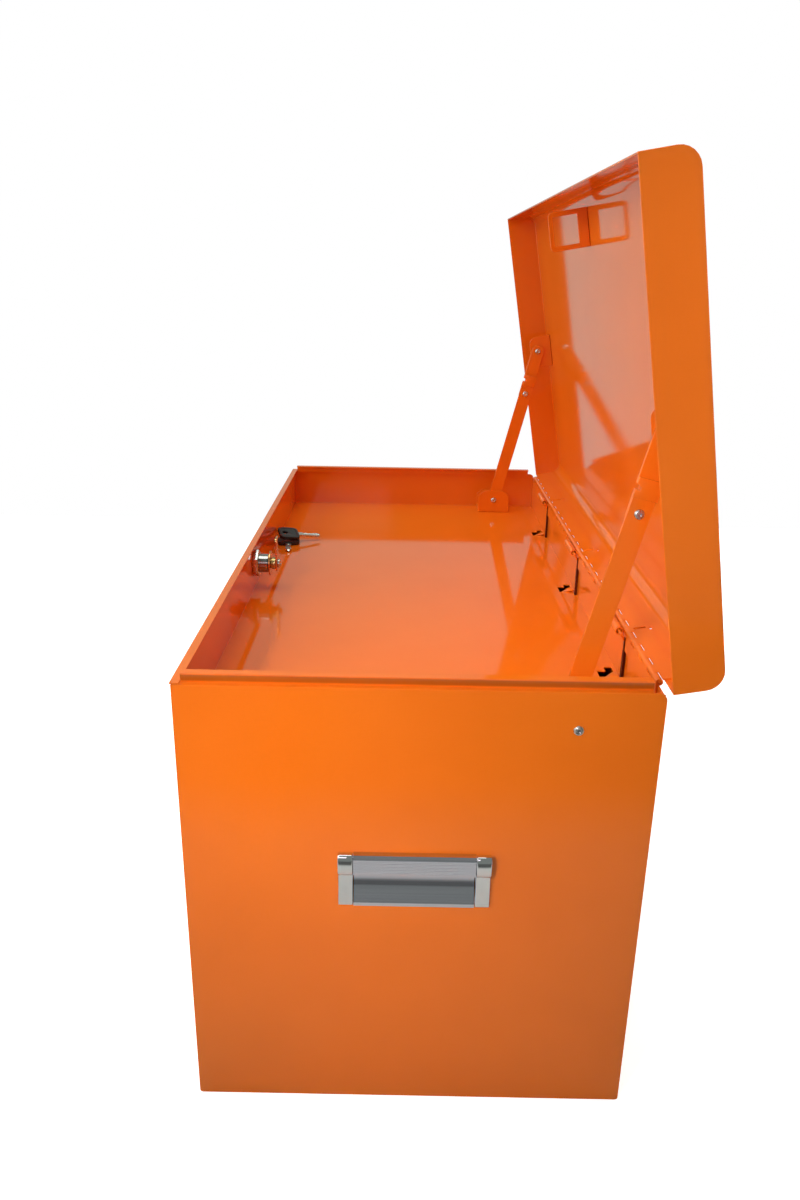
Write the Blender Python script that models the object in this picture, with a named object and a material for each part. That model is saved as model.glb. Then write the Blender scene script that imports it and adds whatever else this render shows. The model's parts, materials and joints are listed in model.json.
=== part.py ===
"""Sheet-steel tool chest with a stay-held lid, a top tray, locking drawers and flush handles.

Metres, +Z up. X runs along the length, the front is at -Y and the hinge at +Y.
The origin is the centre of the base. The lid is drawn open, as in the picture.
"""

import math

import bmesh
import bpy
from mathutils import Vector

# Body
BODY_LENGTH = 0.645
BODY_DEPTH = 0.305
BODY_HEIGHT = 0.327
SHEET = 0.0012
FIT = 0.0003
REAR_CORNER = 0.005
LEDGE = 0.0045
LIP_HEIGHT = 0.0065
LIP_HEM = 0.005
LIP_FRONT_GAP = 0.0055
LIP_REAR_GAP = 0.008
PAN_WALL = 0.014

# Front sheet
FLANGE_WIDTH = 0.0052
FLANGE_PROUD = 0.0008
BOTTOM_RAIL = 0.018
FRAME_RAIL = 0.006
COLUMN_STILE = 0.008
ROW_OPENINGS = (0.060, 0.054, 0.050)
TRAY_CLEAR = 0.008

# Top tray
TRAY_DEPTH = 0.041

# Drawers and what carries them
RUNNER_INSET = 0.020
RUNNER_RAIL = 0.010
RUNNER_STILE = 0.012
DRAWER_GAP = 0.001
DRAWER_LIFT = 0.0015
DRAWER_SIDE_DROP = 0.014
DRAWER_BACK_SPACE = 0.0101

# Lid
LID_OPEN = math.radians(80.0)
LID_DEPTH = 0.032
LID_GAP = 0.0022
LID_CORNER = 0.012
SKIRT_SLIT = 0.013

# Continuous hinge
HINGE_LENGTH = 0.606
KNUCKLE = 0.01165
KNUCKLE_GAP = 0.0004
BARREL_RADIUS = 0.0022
PIN_RADIUS = 0.001
PIN_CLEARANCE = 0.00025
LEAF = 0.001
LEAF_WIDTH = 0.014
HINGE_DROP = 0.0013

# Stays
STAY_INSET = 0.034
STAY_SETBACK = 0.0525
STAY_DROP = 0.026
STAY_REACH = 0.1538
STAY_LID_DROP = 0.016
LOWER_ARM = 0.134
ARM_WIDTH = 0.0145
ARM_THICK = 0.002
ARM_GAP = 0.0004
ARM_STOP = 0.015
PLATE = 0.0016
BRACKET_WIDTH = 0.038
BRACKET_HEIGHT = 0.0265
BRACKET_WALL_HEIGHT = 0.0205
BRACKET_CORNER = 0.010
LID_BRACKET_LENGTH = 0.035
LID_BRACKET_STAND = 0.0245
BRACKET_FOOT = 0.012
RIVET_SHANK = 0.002
RIVET_HEAD = 0.0042
RIVET_RISE = 0.0015

# Lock
LOCK_X = 0.018
LOCK_DROP = 0.017
LOCK_BARREL_RADIUS = 0.0086
LOCK_BARREL_REACH = 0.017
LOCK_ROSE_RADIUS = 0.0115
LOCK_ROSE_RISE = 0.0022
CORE_RADIUS = 0.0055
NUT_FLATS = 0.0225
NUT_THICK = 0.005
STOP_WASHER_RADIUS = 0.0115
STOP_WASHER_THICK = 0.0015
CAM_REACH = 0.0235
CAM_THICK = 0.0015
CAM_TIP = 0.0247
CAM_NOSE = 0.0025
CAM_BACK = 0.006
CAM_FRONT = 0.002
CAM_NOSE_OUT = 0.0065
CAM_SCREW_RADIUS = 0.004
STRIKER_OFFSET = -0.008
STRIKER_STAND = 0.033
STRIKER_LENGTH = 0.031
STRIKER_BACK = 0.003
STRIKER_BAR = 0.0036
STRIKER_TOP = 0.009
STRIKER_SIDE = 0.004

# Keys
KEY_HEAD = 0.024
KEY_HEAD_THICK = 0.0036
KEY_BLADE = 0.024
KEY_BLADE_WIDTH = 0.0075
KEY_BLADE_THICK = 0.0018
KEY_HOLE_RADIUS = 0.003
KEY_X = -0.135
KEY_WALL_SPACE = 0.012

# Handles and pulls
HANDLE_Z = 0.189
HANDLE_WIDTH = 0.101
HANDLE_HEIGHT = 0.041
HANDLE_CAP = 0.010
HANDLE_POCKET = 0.0145
HANDLE_WALL = 0.0015
HANDLE_GRIP = 0.015
HANDLE_RISE = 0.0055
HANDLE_BORDER = 0.0025

# Drawer lock bars
BAR_SPACING = 0.196
BAR_SLOT_SHIFT = 0.021
BAR_SLOT = 0.003
BAR_WIDTH = 0.014
BAR_THICK = 0.0016
BAR_BACK_GAP = 0.0006
BAR_FOOT = 0.030
BAR_ROD = 0.0016
BAR_WIRE_RADIUS = 0.0012
BAR_TRAVEL = 0.008
TUBE_RADIUS = 0.003
TUBE_BORE = 0.0021
TUBE_LENGTH = 0.036
TUBE_STAND = 0.0044
TUBE_BACK = 0.007
HOOK_LIP = 0.0045
CUTOUT_FRONT = 0.0147
CUTOUT_STEP = 0.0065
CUTOUT_REAR = 0.0025
CUTOUT_START = 0.0055
CUTOUT_NEAR = 0.0205
CUTOUT_FAR = 0.028

END_X = BODY_LENGTH / 2
REAR_Y = BODY_DEPTH / 2
FRONT_Y = -BODY_DEPTH / 2
BACK_INNER = REAR_Y - SHEET
TRAY_REAR = BACK_INNER - FIT
TRAY_FLOOR = BODY_HEIGHT - TRAY_DEPTH
TRAY_TOP = BODY_HEIGHT - SHEET - FIT
TRAY_FRONT = FRONT_Y + SHEET + FIT
TRAY_HALF = END_X - SHEET - FIT
HINGE_Y = BACK_INNER - FIT - LEAF + BARREL_RADIUS
HINGE_Z = BODY_HEIGHT - HINGE_DROP
LID_EDGE = BODY_HEIGHT + LID_GAP - HINGE_Z
LID_TOP = LID_EDGE + LID_DEPTH
LID_INNER = LID_TOP - SHEET
LOCK_Z = BODY_HEIGHT - LOCK_DROP
RUNNER_X = END_X - RUNNER_INSET - SHEET
DRAWER_BACK = BACK_INNER - DRAWER_BACK_SPACE
BAR_Y = BACK_INNER - BAR_BACK_GAP
ROD_BACK = BACK_INNER - FIT
ROD_FRONT = ROD_BACK - BAR_ROD
STATIONS = (-BAR_SPACING, 0.0, BAR_SPACING)


def clear_scene():
    for old in list(bpy.data.objects):
        bpy.data.objects.remove(old, do_unlink=True)


def finish(name, colour, metallic, roughness):
    """A painted or metal surface, as one Principled material."""
    material = bpy.data.materials.new(name)
    material.use_nodes = True
    shader = material.node_tree.nodes["Principled BSDF"]
    shader.inputs["Base Color"].default_value = (*colour, 1.0)
    shader.inputs["Metallic"].default_value = metallic
    shader.inputs["Roughness"].default_value = roughness
    material.diffuse_color = (*colour, 1.0)
    return material


def frame(name, parent, place, turn=(0.0, 0.0, 0.0)):
    """An empty on a joint's axis, which carries the pieces that move about it."""
    empty = bpy.data.objects.new(name, None)
    empty.location = place
    empty.rotation_euler = turn
    empty.parent = parent
    bpy.context.collection.objects.link(empty)
    return empty


def attach(obj, name, material, parent, place=(0.0, 0.0, 0.0), turn=0.0):
    """Names a piece, paints it, and sets it in its parent's frame, turned about Z."""
    obj.name = name
    obj.data.name = name
    obj.data.materials.clear()
    obj.data.materials.append(material)
    obj.parent = parent
    obj.location = place
    obj.rotation_euler = (0.0, 0.0, turn)
    return obj


def link(name, bm):
    bmesh.ops.recalc_face_normals(bm, faces=bm.faces)
    mesh = bpy.data.meshes.new(name)
    bm.to_mesh(mesh)
    bm.free()
    obj = bpy.data.objects.new(name, mesh)
    bpy.context.collection.objects.link(obj)
    return obj


def axes(axis):
    """The two directions across an axis, in order, and the axis itself, as places in a point."""
    along = "XYZ".index(axis)
    first, second = [k for k in range(3) if k != along]
    return first, second, along


def prism(outline, axis, low, high):
    """A closed outline drawn across an axis and pushed from low to high along it."""
    first, second, along = axes(axis)
    bm = bmesh.new()
    rings = []
    for level in (low, high):
        ring = []
        for a, b in outline:
            spot = [0.0, 0.0, 0.0]
            spot[first] = a
            spot[second] = b
            spot[along] = level
            ring.append(bm.verts.new(spot))
        rings.append(ring)
    bm.faces.new(rings[0])
    bm.faces.new(rings[1])
    for i in range(len(outline)):
        j = (i + 1) % len(outline)
        bm.faces.new((rings[0][i], rings[0][j], rings[1][j], rings[1][i]))
    return link("prism", bm)


def box(x0, x1, y0, y1, z0, z1):
    return prism(((x0, y0), (x1, y0), (x1, y1), (x0, y1)), "Z", z0, z1)


def circle(a, b, radius, steps):
    turn = 2 * math.pi / steps
    angles = [turn * (k + 0.5) for k in range(steps)]
    return [(a + radius * math.cos(angle), b + radius * math.sin(angle)) for angle in angles]


def cylinder(axis, a, b, radius, low, high, steps=16):
    return prism(circle(a, b, radius, steps), axis, low, high)


def rounded(corners, steps=4):
    """An outline whose corners, given as (a, b, radius), are turned into arcs."""
    points = []
    for i, (a, b, radius) in enumerate(corners):
        if radius <= 0:
            points.append((a, b))
            continue
        here = Vector((a, b))
        to_last = (Vector(corners[i - 1][:2]) - here).normalized()
        to_next = (Vector(corners[(i + 1) % len(corners)][:2]) - here).normalized()
        half = to_last.angle(to_next) / 2
        centre = here + (to_last + to_next).normalized() * (radius / math.sin(half))
        start = here + to_last * (radius / math.tan(half)) - centre
        end = here + to_next * (radius / math.tan(half)) - centre
        first = math.atan2(start.y, start.x)
        sweep = math.atan2(end.y, end.x) - first
        sweep = (sweep + math.pi) % (2 * math.pi) - math.pi
        for k in range(steps + 1):
            angle = first + sweep * k / steps
            points.append((centre.x + radius * math.cos(angle), centre.y + radius * math.sin(angle)))
    return points


def turned(axis, a, b, profile, steps=16):
    """A turned piece: (position along the axis, radius) pairs, first and last on the axis."""
    first, second, along = axes(axis)
    bm = bmesh.new()
    rings = []
    for level, radius in profile:
        ring = []
        for u, v in circle(a, b, radius, steps) if radius > 0 else [(a, b)]:
            spot = [0.0, 0.0, 0.0]
            spot[first] = u
            spot[second] = v
            spot[along] = level
            ring.append(bm.verts.new(spot))
        rings.append(ring)
    for low, high in zip(rings, rings[1:]):
        for i in range(steps):
            j = (i + 1) % steps
            if len(low) == 1:
                bm.faces.new((low[0], high[i], high[j]))
            elif len(high) == 1:
                bm.faces.new((low[i], low[j], high[0]))
            else:
                bm.faces.new((low[i], low[j], high[j], high[i]))
    return link("turned", bm)


def merge(base, tools, operation):
    """Joins tools to a piece, or cuts them from it, and keeps only the result."""
    group = bpy.data.collections.new("tools")
    for tool in tools:
        group.objects.link(tool)
    modifier = base.modifiers.new("merge", "BOOLEAN")
    modifier.operation = operation
    modifier.solver = "EXACT"
    modifier.operand_type = "COLLECTION"
    modifier.collection = group
    bpy.context.view_layer.update()
    graph = bpy.context.evaluated_depsgraph_get()
    mesh = bpy.data.meshes.new_from_object(base.evaluated_get(graph))
    base.modifiers.clear()
    base.data = mesh
    for tool in tools:
        bpy.data.objects.remove(tool, do_unlink=True)
    bpy.data.collections.remove(group)
    return base


def joined(shapes):
    return merge(shapes[0], shapes[1:], "UNION")


def cut(base, cutters):
    return merge(base, cutters, "DIFFERENCE")


def mirrored(side, low, high):
    """A span along X, given for the right end, on the chosen side."""
    return (low, high) if side > 0 else (-high, -low)


def rows():
    """The (bottom, top) of each row of drawer openings, from the lowest up; the lowest takes what is left."""
    found = []
    level = TRAY_FLOOR - TRAY_CLEAR
    for height in reversed(ROW_OPENINGS):
        found.insert(0, (level - height, level))
        level -= height + FRAME_RAIL
    return [(BOTTOM_RAIL, level)] + found


def columns():
    """The (left, right) of the three small openings in the top row."""
    width = (2 * RUNNER_X - 2 * COLUMN_STILE) / 3
    lefts = [-RUNNER_X + k * (width + COLUMN_STILE) for k in range(3)]
    return [(left, left + width) for left in lefts]


def openings():
    """Each drawer opening as (name, left, right, bottom, top)."""
    bottom, top = rows()[-1]
    found = [("top_" + side, left, right, bottom, top)
             for side, (left, right) in zip(("left", "middle", "right"), columns())]
    for name, (low, high) in zip(("lower", "middle", "upper"), rows()):
        found.append((name, -RUNNER_X, RUNNER_X, low, high))
    return found


def handle_hole(axis_low, axis_high, across, up, axis):
    """A cutter for a handle's pocket, centred at (across, up)."""
    half = HANDLE_WIDTH / 2 - HANDLE_BORDER + FIT
    low = up - HANDLE_HEIGHT / 2 + HANDLE_BORDER - FIT
    high = up + HANDLE_HEIGHT / 2 - HANDLE_BORDER + FIT
    outline = ((across - half, low), (across + half, low), (across + half, high), (across - half, high))
    return prism(outline, axis, axis_low, axis_high)


def stay_y():
    return HINGE_Y - STAY_SETBACK


def stay_z():
    return BODY_HEIGHT - STAY_DROP


def cabinet_shell():
    outline = rounded((
        (FRONT_Y, 0.0, 0.002),
        (REAR_Y, 0.0, 0.002),
        (REAR_Y, BODY_HEIGHT, REAR_CORNER),
        (FRONT_Y, BODY_HEIGHT, 0.0),
    ))
    back_top = HINGE_Z - BARREL_RADIUS - FIT
    shapes = [box(-END_X + SHEET / 2, END_X - SHEET / 2, BACK_INNER, REAR_Y, 0.002, back_top)]
    holes = []
    for side in (1, -1):
        near, far = mirrored(side, END_X - SHEET, END_X)
        shapes.append(prism(outline, "X", near, far))
        near, far = mirrored(side, END_X - LEDGE - SHEET, END_X - SHEET / 2)
        shapes.append(box(near, far, TRAY_FRONT, REAR_Y - LIP_REAR_GAP, BODY_HEIGHT - SHEET, BODY_HEIGHT))
        lip_y = (FRONT_Y + LIP_FRONT_GAP, REAR_Y - LIP_REAR_GAP)
        lip_top = BODY_HEIGHT + LIP_HEIGHT
        near, far = mirrored(side, END_X - LEDGE - SHEET, END_X - LEDGE)
        shapes.append(box(near, far, *lip_y, BODY_HEIGHT - SHEET, lip_top))
        near, far = mirrored(side, END_X - LEDGE - LIP_HEM, END_X - LEDGE)
        shapes.append(box(near, far, *lip_y, lip_top - SHEET, lip_top))
        near, far = mirrored(side, END_X - 2 * SHEET, END_X + SHEET)
        holes.append(handle_hole(near, far, 0.0, HANDLE_Z, "X"))
        holes.append(cylinder("X", stay_y(), stay_z(), RIVET_SHANK + FIT, near, far))
    return cut(joined(shapes), holes)


def bottom_panel():
    pan = box(-TRAY_HALF, TRAY_HALF, TRAY_FRONT, BACK_INNER - FIT, 0.0, PAN_WALL)
    inner = box(-TRAY_HALF + SHEET, TRAY_HALF - SHEET, TRAY_FRONT + SHEET,
                BACK_INNER - FIT - SHEET, SHEET, PAN_WALL + SHEET)
    return cut(pan, [inner])


def face_frame():
    flange_low = BODY_HEIGHT + FIT
    flange_high = flange_low + SHEET
    sheet = box(-TRAY_HALF, TRAY_HALF, FRONT_Y, FRONT_Y + SHEET, 0.0, flange_high)
    flange = box(-END_X, END_X, FRONT_Y - FLANGE_PROUD, FRONT_Y + FLANGE_WIDTH, flange_low, flange_high)
    holes = [box(left, right, FRONT_Y - SHEET, FRONT_Y + 2 * SHEET, low, high)
             for _, left, right, low, high in openings()]
    holes.append(cylinder("Y", LOCK_X, LOCK_Z, LOCK_BARREL_RADIUS + FIT,
                          FRONT_Y - SHEET, FRONT_Y + 2 * SHEET, 20))
    return cut(joined([sheet, flange]), holes)


def top_tray():
    tray = box(-TRAY_HALF, TRAY_HALF, TRAY_FRONT, TRAY_REAR, TRAY_FLOOR - SHEET, TRAY_TOP)
    inner = box(-TRAY_HALF + SHEET, TRAY_HALF - SHEET, TRAY_FRONT + SHEET, TRAY_REAR + SHEET,
                TRAY_FLOOR, TRAY_TOP + SHEET)
    under = TRAY_FLOOR - 2 * SHEET
    holes = [inner]
    holes.append(cylinder("Y", LOCK_X, LOCK_Z, LOCK_BARREL_RADIUS + FIT,
                          TRAY_FRONT - SHEET, TRAY_FRONT + 2 * SHEET, 20))
    for side in (1, -1):
        near, far = mirrored(side, TRAY_HALF - 2 * SHEET, TRAY_HALF + SHEET)
        holes.append(cylinder("X", stay_y(), stay_z(), RIVET_SHANK + FIT, near, far))
    edge = BACK_INNER - CUTOUT_FRONT
    step = edge + CUTOUT_STEP
    rear = BACK_INNER - CUTOUT_REAR
    for station in STATIONS:
        slot = station + BAR_SLOT_SHIFT
        holes.append(box(slot - BAR_SLOT / 2, slot + BAR_SLOT / 2, ROD_FRONT - FIT, TRAY_REAR + SHEET,
                         under, TRAY_FLOOR + SHEET))
        start = slot - CUTOUT_START
        outline = ((slot - CUTOUT_NEAR, edge), (start, edge), (start, rear), (slot - CUTOUT_FAR, rear),
                   (slot - CUTOUT_FAR, step), (slot - CUTOUT_NEAR, step))
        holes.append(prism(outline, "Z", under, TRAY_FLOOR + SHEET))
    tray = cut(tray, holes)
    tongues = []
    for station in STATIONS:
        near = station + BAR_SLOT_SHIFT - CUTOUT_START
        tip = near - (CUTOUT_NEAR - CUTOUT_START) * 0.6
        outline = ((near + SHEET, TRAY_FLOOR - SHEET), (near + SHEET, TRAY_FLOOR), (near - SHEET, TRAY_FLOOR),
                   (tip, TRAY_FLOOR - 3 * SHEET), (tip, TRAY_FLOOR - 4 * SHEET),
                   (near - SHEET, TRAY_FLOOR - SHEET))
        tongues.append(prism(outline, "Y", edge + SHEET, step))
    return joined([tray] + tongues)


def runner_panel(side):
    front = TRAY_FRONT + SHEET + FIT
    rear = BACK_INNER - FIT - SHEET - FIT
    top = TRAY_FLOOR - SHEET - FIT
    foot = SHEET + FIT
    near, far = mirrored(side, RUNNER_X, RUNNER_X + SHEET)
    shapes = [box(near, far, front, rear, foot, top)]
    near, far = mirrored(side, RUNNER_X + SHEET / 2, RUNNER_X + RUNNER_STILE)
    shapes.append(box(near, far, front, front + SHEET, PAN_WALL, top))
    shapes.append(box(near, far, front, rear, top - SHEET, top))
    near, far = mirrored(side, RUNNER_X - RUNNER_RAIL, RUNNER_X + SHEET / 2)
    for low, _ in rows():
        shapes.append(box(near, far, front, rear, low, low + DRAWER_LIFT - FIT))
    return joined(shapes)


def column_divider(index):
    centre = columns()[index][1] + COLUMN_STILE / 2
    low = rows()[-1][0]
    top = TRAY_FLOOR - SHEET - FIT
    wing = COLUMN_STILE / 2 + RUNNER_RAIL
    rear = TRAY_REAR - SHEET
    web = box(centre - SHEET / 2, centre + SHEET / 2, TRAY_FRONT, rear, low, top)
    rail = box(centre - wing, centre + wing, TRAY_FRONT, rear, low, low + DRAWER_LIFT - FIT)
    cap = box(centre - RUNNER_RAIL, centre + RUNNER_RAIL, TRAY_FRONT, rear, top - SHEET, top)
    return joined([web, rail, cap])


def drawer(opening):
    """One drawer, drawn from the middle of its front's outer face."""
    _, left, right, low, high = opening
    half = (right - left) / 2 - DRAWER_GAP
    rise = (high - low) / 2
    depth = DRAWER_BACK - FRONT_Y
    floor = DRAWER_LIFT - rise
    top = rise - DRAWER_SIDE_DROP
    front = box(-half, half, 0.0, SHEET, DRAWER_GAP - rise, rise - DRAWER_GAP)
    shell = box(-half + SHEET / 2, half - SHEET / 2, SHEET / 2, depth, floor, top)
    hollow = box(-half + SHEET * 1.5, half - SHEET * 1.5, SHEET, depth - SHEET, floor + SHEET, top + SHEET)
    shell = cut(shell, [hollow])
    return cut(joined([front, shell]), [handle_hole(-SHEET, 2 * SHEET, 0.0, 0.0, "Y")])


def pocket_outline():
    """The handle's section: +first is out of the panel, second is up, from its middle."""
    low = -HANDLE_HEIGHT / 2
    high = HANDLE_HEIGHT / 2
    inner_low = low + HANDLE_BORDER
    inner_high = high - HANDLE_BORDER
    back = -HANDLE_POCKET
    grip_low = high - HANDLE_GRIP
    wall = HANDLE_WALL
    return [
        (FIT, low), (HANDLE_RISE * 0.4, low), (HANDLE_RISE * 0.4, inner_low),
        (FIT, inner_low + wall), (back + wall, 0.0), (back + wall, inner_high - wall * 2),
        (back + wall * 2, inner_high - wall), (FIT, inner_high - wall),
        (HANDLE_RISE - wall * 1.6, high - wall * 1.6),
        (HANDLE_RISE - wall, grip_low + wall), (HANDLE_RISE - wall * 2.4, grip_low + wall * 0.6),
        (HANDLE_RISE - wall * 2.0, grip_low), (HANDLE_RISE - wall * 0.4, grip_low),
        (HANDLE_RISE, grip_low + wall), (HANDLE_RISE, high - wall * 2),
        (HANDLE_RISE - wall, high - wall * 0.4),
        (HANDLE_RISE * 0.4, high), (FIT, high), (FIT, inner_high), (back + wall, inner_high),
        (back, inner_high - wall * 2), (back, -wall * 0.3), (FIT - wall, inner_low + wall * 0.6),
        (FIT - wall, inner_low), (FIT, inner_low),
    ]


def handle_profile(gap):
    half = HANDLE_WIDTH / 2 - HANDLE_CAP - gap
    return prism(pocket_outline(), "Y", -half, half)


def handle_cap(side):
    low = -HANDLE_HEIGHT / 2
    high = HANDLE_HEIGHT / 2
    bulge = HANDLE_RISE + 0.0008
    grip_low = high - HANDLE_GRIP - 0.001
    end = HANDLE_WIDTH / 2
    face = rounded((
        (FIT, low, 0.0),
        (HANDLE_RISE * 0.4, low, 0.0),
        (HANDLE_RISE * 0.4, grip_low, 0.0),
        (bulge, grip_low + 0.003, 0.002),
        (bulge, high, 0.005),
        (FIT, high, 0.0),
    ), 3)
    near, far = mirrored(side, end - HANDLE_CAP, end)
    plate = prism(face, "Y", near, far)
    near, far = mirrored(side, end - HANDLE_CAP, end - HANDLE_BORDER)
    plug = prism((
        (-HANDLE_POCKET, low + HANDLE_BORDER),
        (FIT + SHEET, low + HANDLE_BORDER),
        (FIT + SHEET, high - HANDLE_BORDER),
        (-HANDLE_POCKET, high - HANDLE_BORDER),
    ), "Y", near, far)
    return joined([plate, plug])


def hinge_knuckle(up):
    """A knuckle's section: the barrel and the tail that runs on into its leaf."""
    inner = BARREL_RADIUS - LEAF
    meet = math.acos(inner / BARREL_RADIUS)
    tail = BARREL_RADIUS + 3 * FIT + LEAF
    points = [(-BARREL_RADIUS, up * tail), (-inner, up * tail)]
    start = math.pi - meet
    steps = 10
    for k in range(steps + 1):
        angle = start - (start + math.pi) * k / steps
        points.append((BARREL_RADIUS * math.cos(angle), up * BARREL_RADIUS * math.sin(angle)))
    return points


def hinge_leaf(up, first, slit):
    """One leaf about the hinge axis: its plate, every second knuckle and the slits for the lock bars."""
    half = HINGE_LENGTH / 2
    plate_low = BARREL_RADIUS + 2 * FIT
    low, high = sorted((up * plate_low, up * LEAF_WIDTH))
    shapes = [box(-half, half, -BARREL_RADIUS, LEAF - BARREL_RADIUS, low, high)]
    count = int(round(HINGE_LENGTH / KNUCKLE))
    pitch = HINGE_LENGTH / count
    outline = hinge_knuckle(up)
    for k in range(first, count, 2):
        left = -half + k * pitch + KNUCKLE_GAP / 2
        shapes.append(prism(outline, "X", left, left + pitch - KNUCKLE_GAP))
    holes = [cylinder("X", 0.0, 0.0, PIN_RADIUS + PIN_CLEARANCE, -half - LEAF, half + LEAF, 10)]
    for station in STATIONS:
        slot = station + BAR_SLOT_SHIFT
        holes.append(box(slot - BAR_SLOT / 2, slot + BAR_SLOT / 2, -BARREL_RADIUS - LEAF, LEAF, *slit))
    return cut(joined(shapes), holes)


def lid_shell():
    rear = REAR_Y - HINGE_Y
    front = FRONT_Y - HINGE_Y
    outer = rounded(((front, LID_EDGE, 0.0), (rear, LID_EDGE, 0.0),
                     (rear, LID_TOP, LID_CORNER), (front, LID_TOP, LID_CORNER)), 6)
    inner = rounded(((front + SHEET, LID_EDGE - SHEET, 0.0), (rear - SHEET, LID_EDGE - SHEET, 0.0),
                     (rear - SHEET, LID_INNER, LID_CORNER - SHEET),
                     (front + SHEET, LID_INNER, LID_CORNER - SHEET)), 6)
    lid = prism(outer, "X", -END_X, END_X)
    hollow = [prism(inner, "X", -END_X + SHEET, END_X - SHEET)]
    for station in STATIONS:
        slot = station + BAR_SLOT_SHIFT
        hollow.append(box(slot - BAR_SLOT / 2, slot + BAR_SLOT / 2, rear - 2 * SHEET, rear + SHEET,
                          LID_EDGE - SHEET, LID_EDGE + SKIRT_SLIT))
    return cut(lid, hollow)


def striker():
    low = LID_INNER - STRIKER_STAND
    base = LID_INNER - FIT
    middle = FRONT_Y + CAM_REACH + CAM_THICK / 2 + STRIKER_BACK - HINGE_Y
    near = middle - STRIKER_LENGTH / 2
    far = middle + STRIKER_LENGTH / 2
    left = LOCK_X + STRIKER_OFFSET - SHEET / 2
    plate = prism(rounded(((near, base, 0.0), (near, low, 0.004), (far, low, 0.004), (far, base, 0.0)), 3),
                  "X", left, left + SHEET)
    foot = box(left + SHEET - BRACKET_FOOT, left + SHEET, near, far, base - SHEET, base)
    window = box(left - SHEET, left + 2 * SHEET, near + STRIKER_SIDE, far - STRIKER_SIDE,
                 low + STRIKER_BAR, LID_INNER - STRIKER_TOP)
    return cut(joined([plate, foot]), [window])


def stay_planes():
    """The low side of each layer along X, from the arm's middle: bracket, lower arm, upper arm, lid plate."""
    lower = -ARM_THICK / 2
    upper = lower - ARM_GAP - ARM_THICK
    return lower + ARM_THICK + ARM_GAP, lower, upper, upper - ARM_GAP - PLATE


def stay_bracket(side):
    centre = side * (END_X - STAY_INSET)
    plane = centre + stay_planes()[0]
    foot = TRAY_FLOOR + FIT
    top = foot + BRACKET_HEIGHT
    front = stay_y() - BRACKET_WIDTH / 2
    rear = stay_y() + BRACKET_WIDTH / 2
    outline = rounded(((front, foot, 0.0), (rear, foot, 0.0), (rear, top, BRACKET_CORNER),
                       (front, top, BRACKET_CORNER)))
    wall = TRAY_HALF - SHEET - FIT
    shapes = [prism(outline, "X", plane, plane + PLATE)]
    low_top = foot + BRACKET_WALL_HEIGHT
    outline = rounded(((front, foot, 0.0), (rear, foot, 0.0), (rear, low_top, BRACKET_CORNER),
                       (front, low_top, BRACKET_CORNER)))
    near, far = mirrored(side, wall - PLATE, wall)
    shapes.append(prism(outline, "X", near, far))
    web = sorted((plane if side > 0 else plane + PLATE, side * wall))
    shapes.append(box(*web, front, rear, foot, foot + PLATE))
    low, high = sorted((plane - side * PLATE, side * (wall + PLATE)))
    hole = cylinder("X", stay_y(), stay_z(), RIVET_SHANK + FIT, low - 2 * PLATE, high + 2 * PLATE)
    return cut(joined(shapes), [hole])


def stay_arm(plane, length, below, above, holes):
    """A flat arm standing on its pivot along +Z."""
    half = ARM_WIDTH / 2
    outline = rounded(((-half, -below, half * 0.9), (half, -below, half * 0.9),
                       (half, length + above, half * 0.6), (-half, length + above, half * 0.6)), 4)
    arm = prism(outline, "X", plane, plane + ARM_THICK)
    return cut(arm, [cylinder("X", 0.0, up, RIVET_SHANK + FIT, plane - ARM_THICK, plane + 2 * ARM_THICK)
                     for up in holes])


def rivet(low, high, tail):
    """A dome-headed rivet about the X axis: head above high, tail head below low when it has one."""
    profile = [(high + FIT + RIVET_RISE, 0.0), (high + FIT + RIVET_RISE, RIVET_HEAD * 0.55),
               (high + FIT + RIVET_RISE * 0.5, RIVET_HEAD * 0.9), (high + FIT, RIVET_HEAD),
               (high + FIT, RIVET_SHANK)]
    if tail > 0:
        profile += [(low - FIT, RIVET_SHANK), (low - FIT, RIVET_HEAD * 0.8),
                    (low - FIT - tail, RIVET_HEAD * 0.7), (low - FIT - tail, 0.0)]
    else:
        profile += [(low, RIVET_SHANK), (low, 0.0)]
    return profile


def panel_rivet(side):
    wall = TRAY_HALF - SHEET - FIT
    low = wall - PLATE - FIT
    out = END_X + FIT
    profile = [(out + RIVET_RISE, RIVET_SHANK * 0.6), (out + RIVET_RISE, RIVET_HEAD * 0.6), (out, RIVET_HEAD),
               (out, RIVET_SHANK), (low, RIVET_SHANK), (low, RIVET_HEAD * 0.75),
               (low - 0.003, RIVET_HEAD * 0.75), (low - 0.004, 0.0)]
    dimple = [(out + RIVET_RISE - 0.001, 0.0), (out + RIVET_RISE - 0.001, RIVET_SHANK * 0.6)]
    profile = dimple + profile
    return turned("X", 0.0, 0.0, [(side * a, r) for a, r in profile], 14)


def lid_bracket(side):
    centre = side * (END_X - STAY_INSET)
    plane = centre + stay_planes()[3]
    base = LID_INNER - FIT
    low = LID_INNER - LID_BRACKET_STAND
    far = -STAY_REACH - LID_BRACKET_LENGTH * 0.48
    near = -STAY_REACH + LID_BRACKET_LENGTH * 0.52
    outline = rounded(((near, base, 0.0), (far, base, 0.0), (far, low, 0.008), (near, low, 0.005)))
    plate = prism(outline, "X", plane, plane + PLATE)
    foot = box(plane - BRACKET_FOOT + PLATE, plane + PLATE, far, near, base - PLATE, base)
    hole = cylinder("X", -STAY_REACH, LID_INNER - STAY_LID_DROP, RIVET_SHANK + FIT,
                    plane - PLATE, plane + 2 * PLATE)
    return cut(joined([plate, foot]), [hole])


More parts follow.
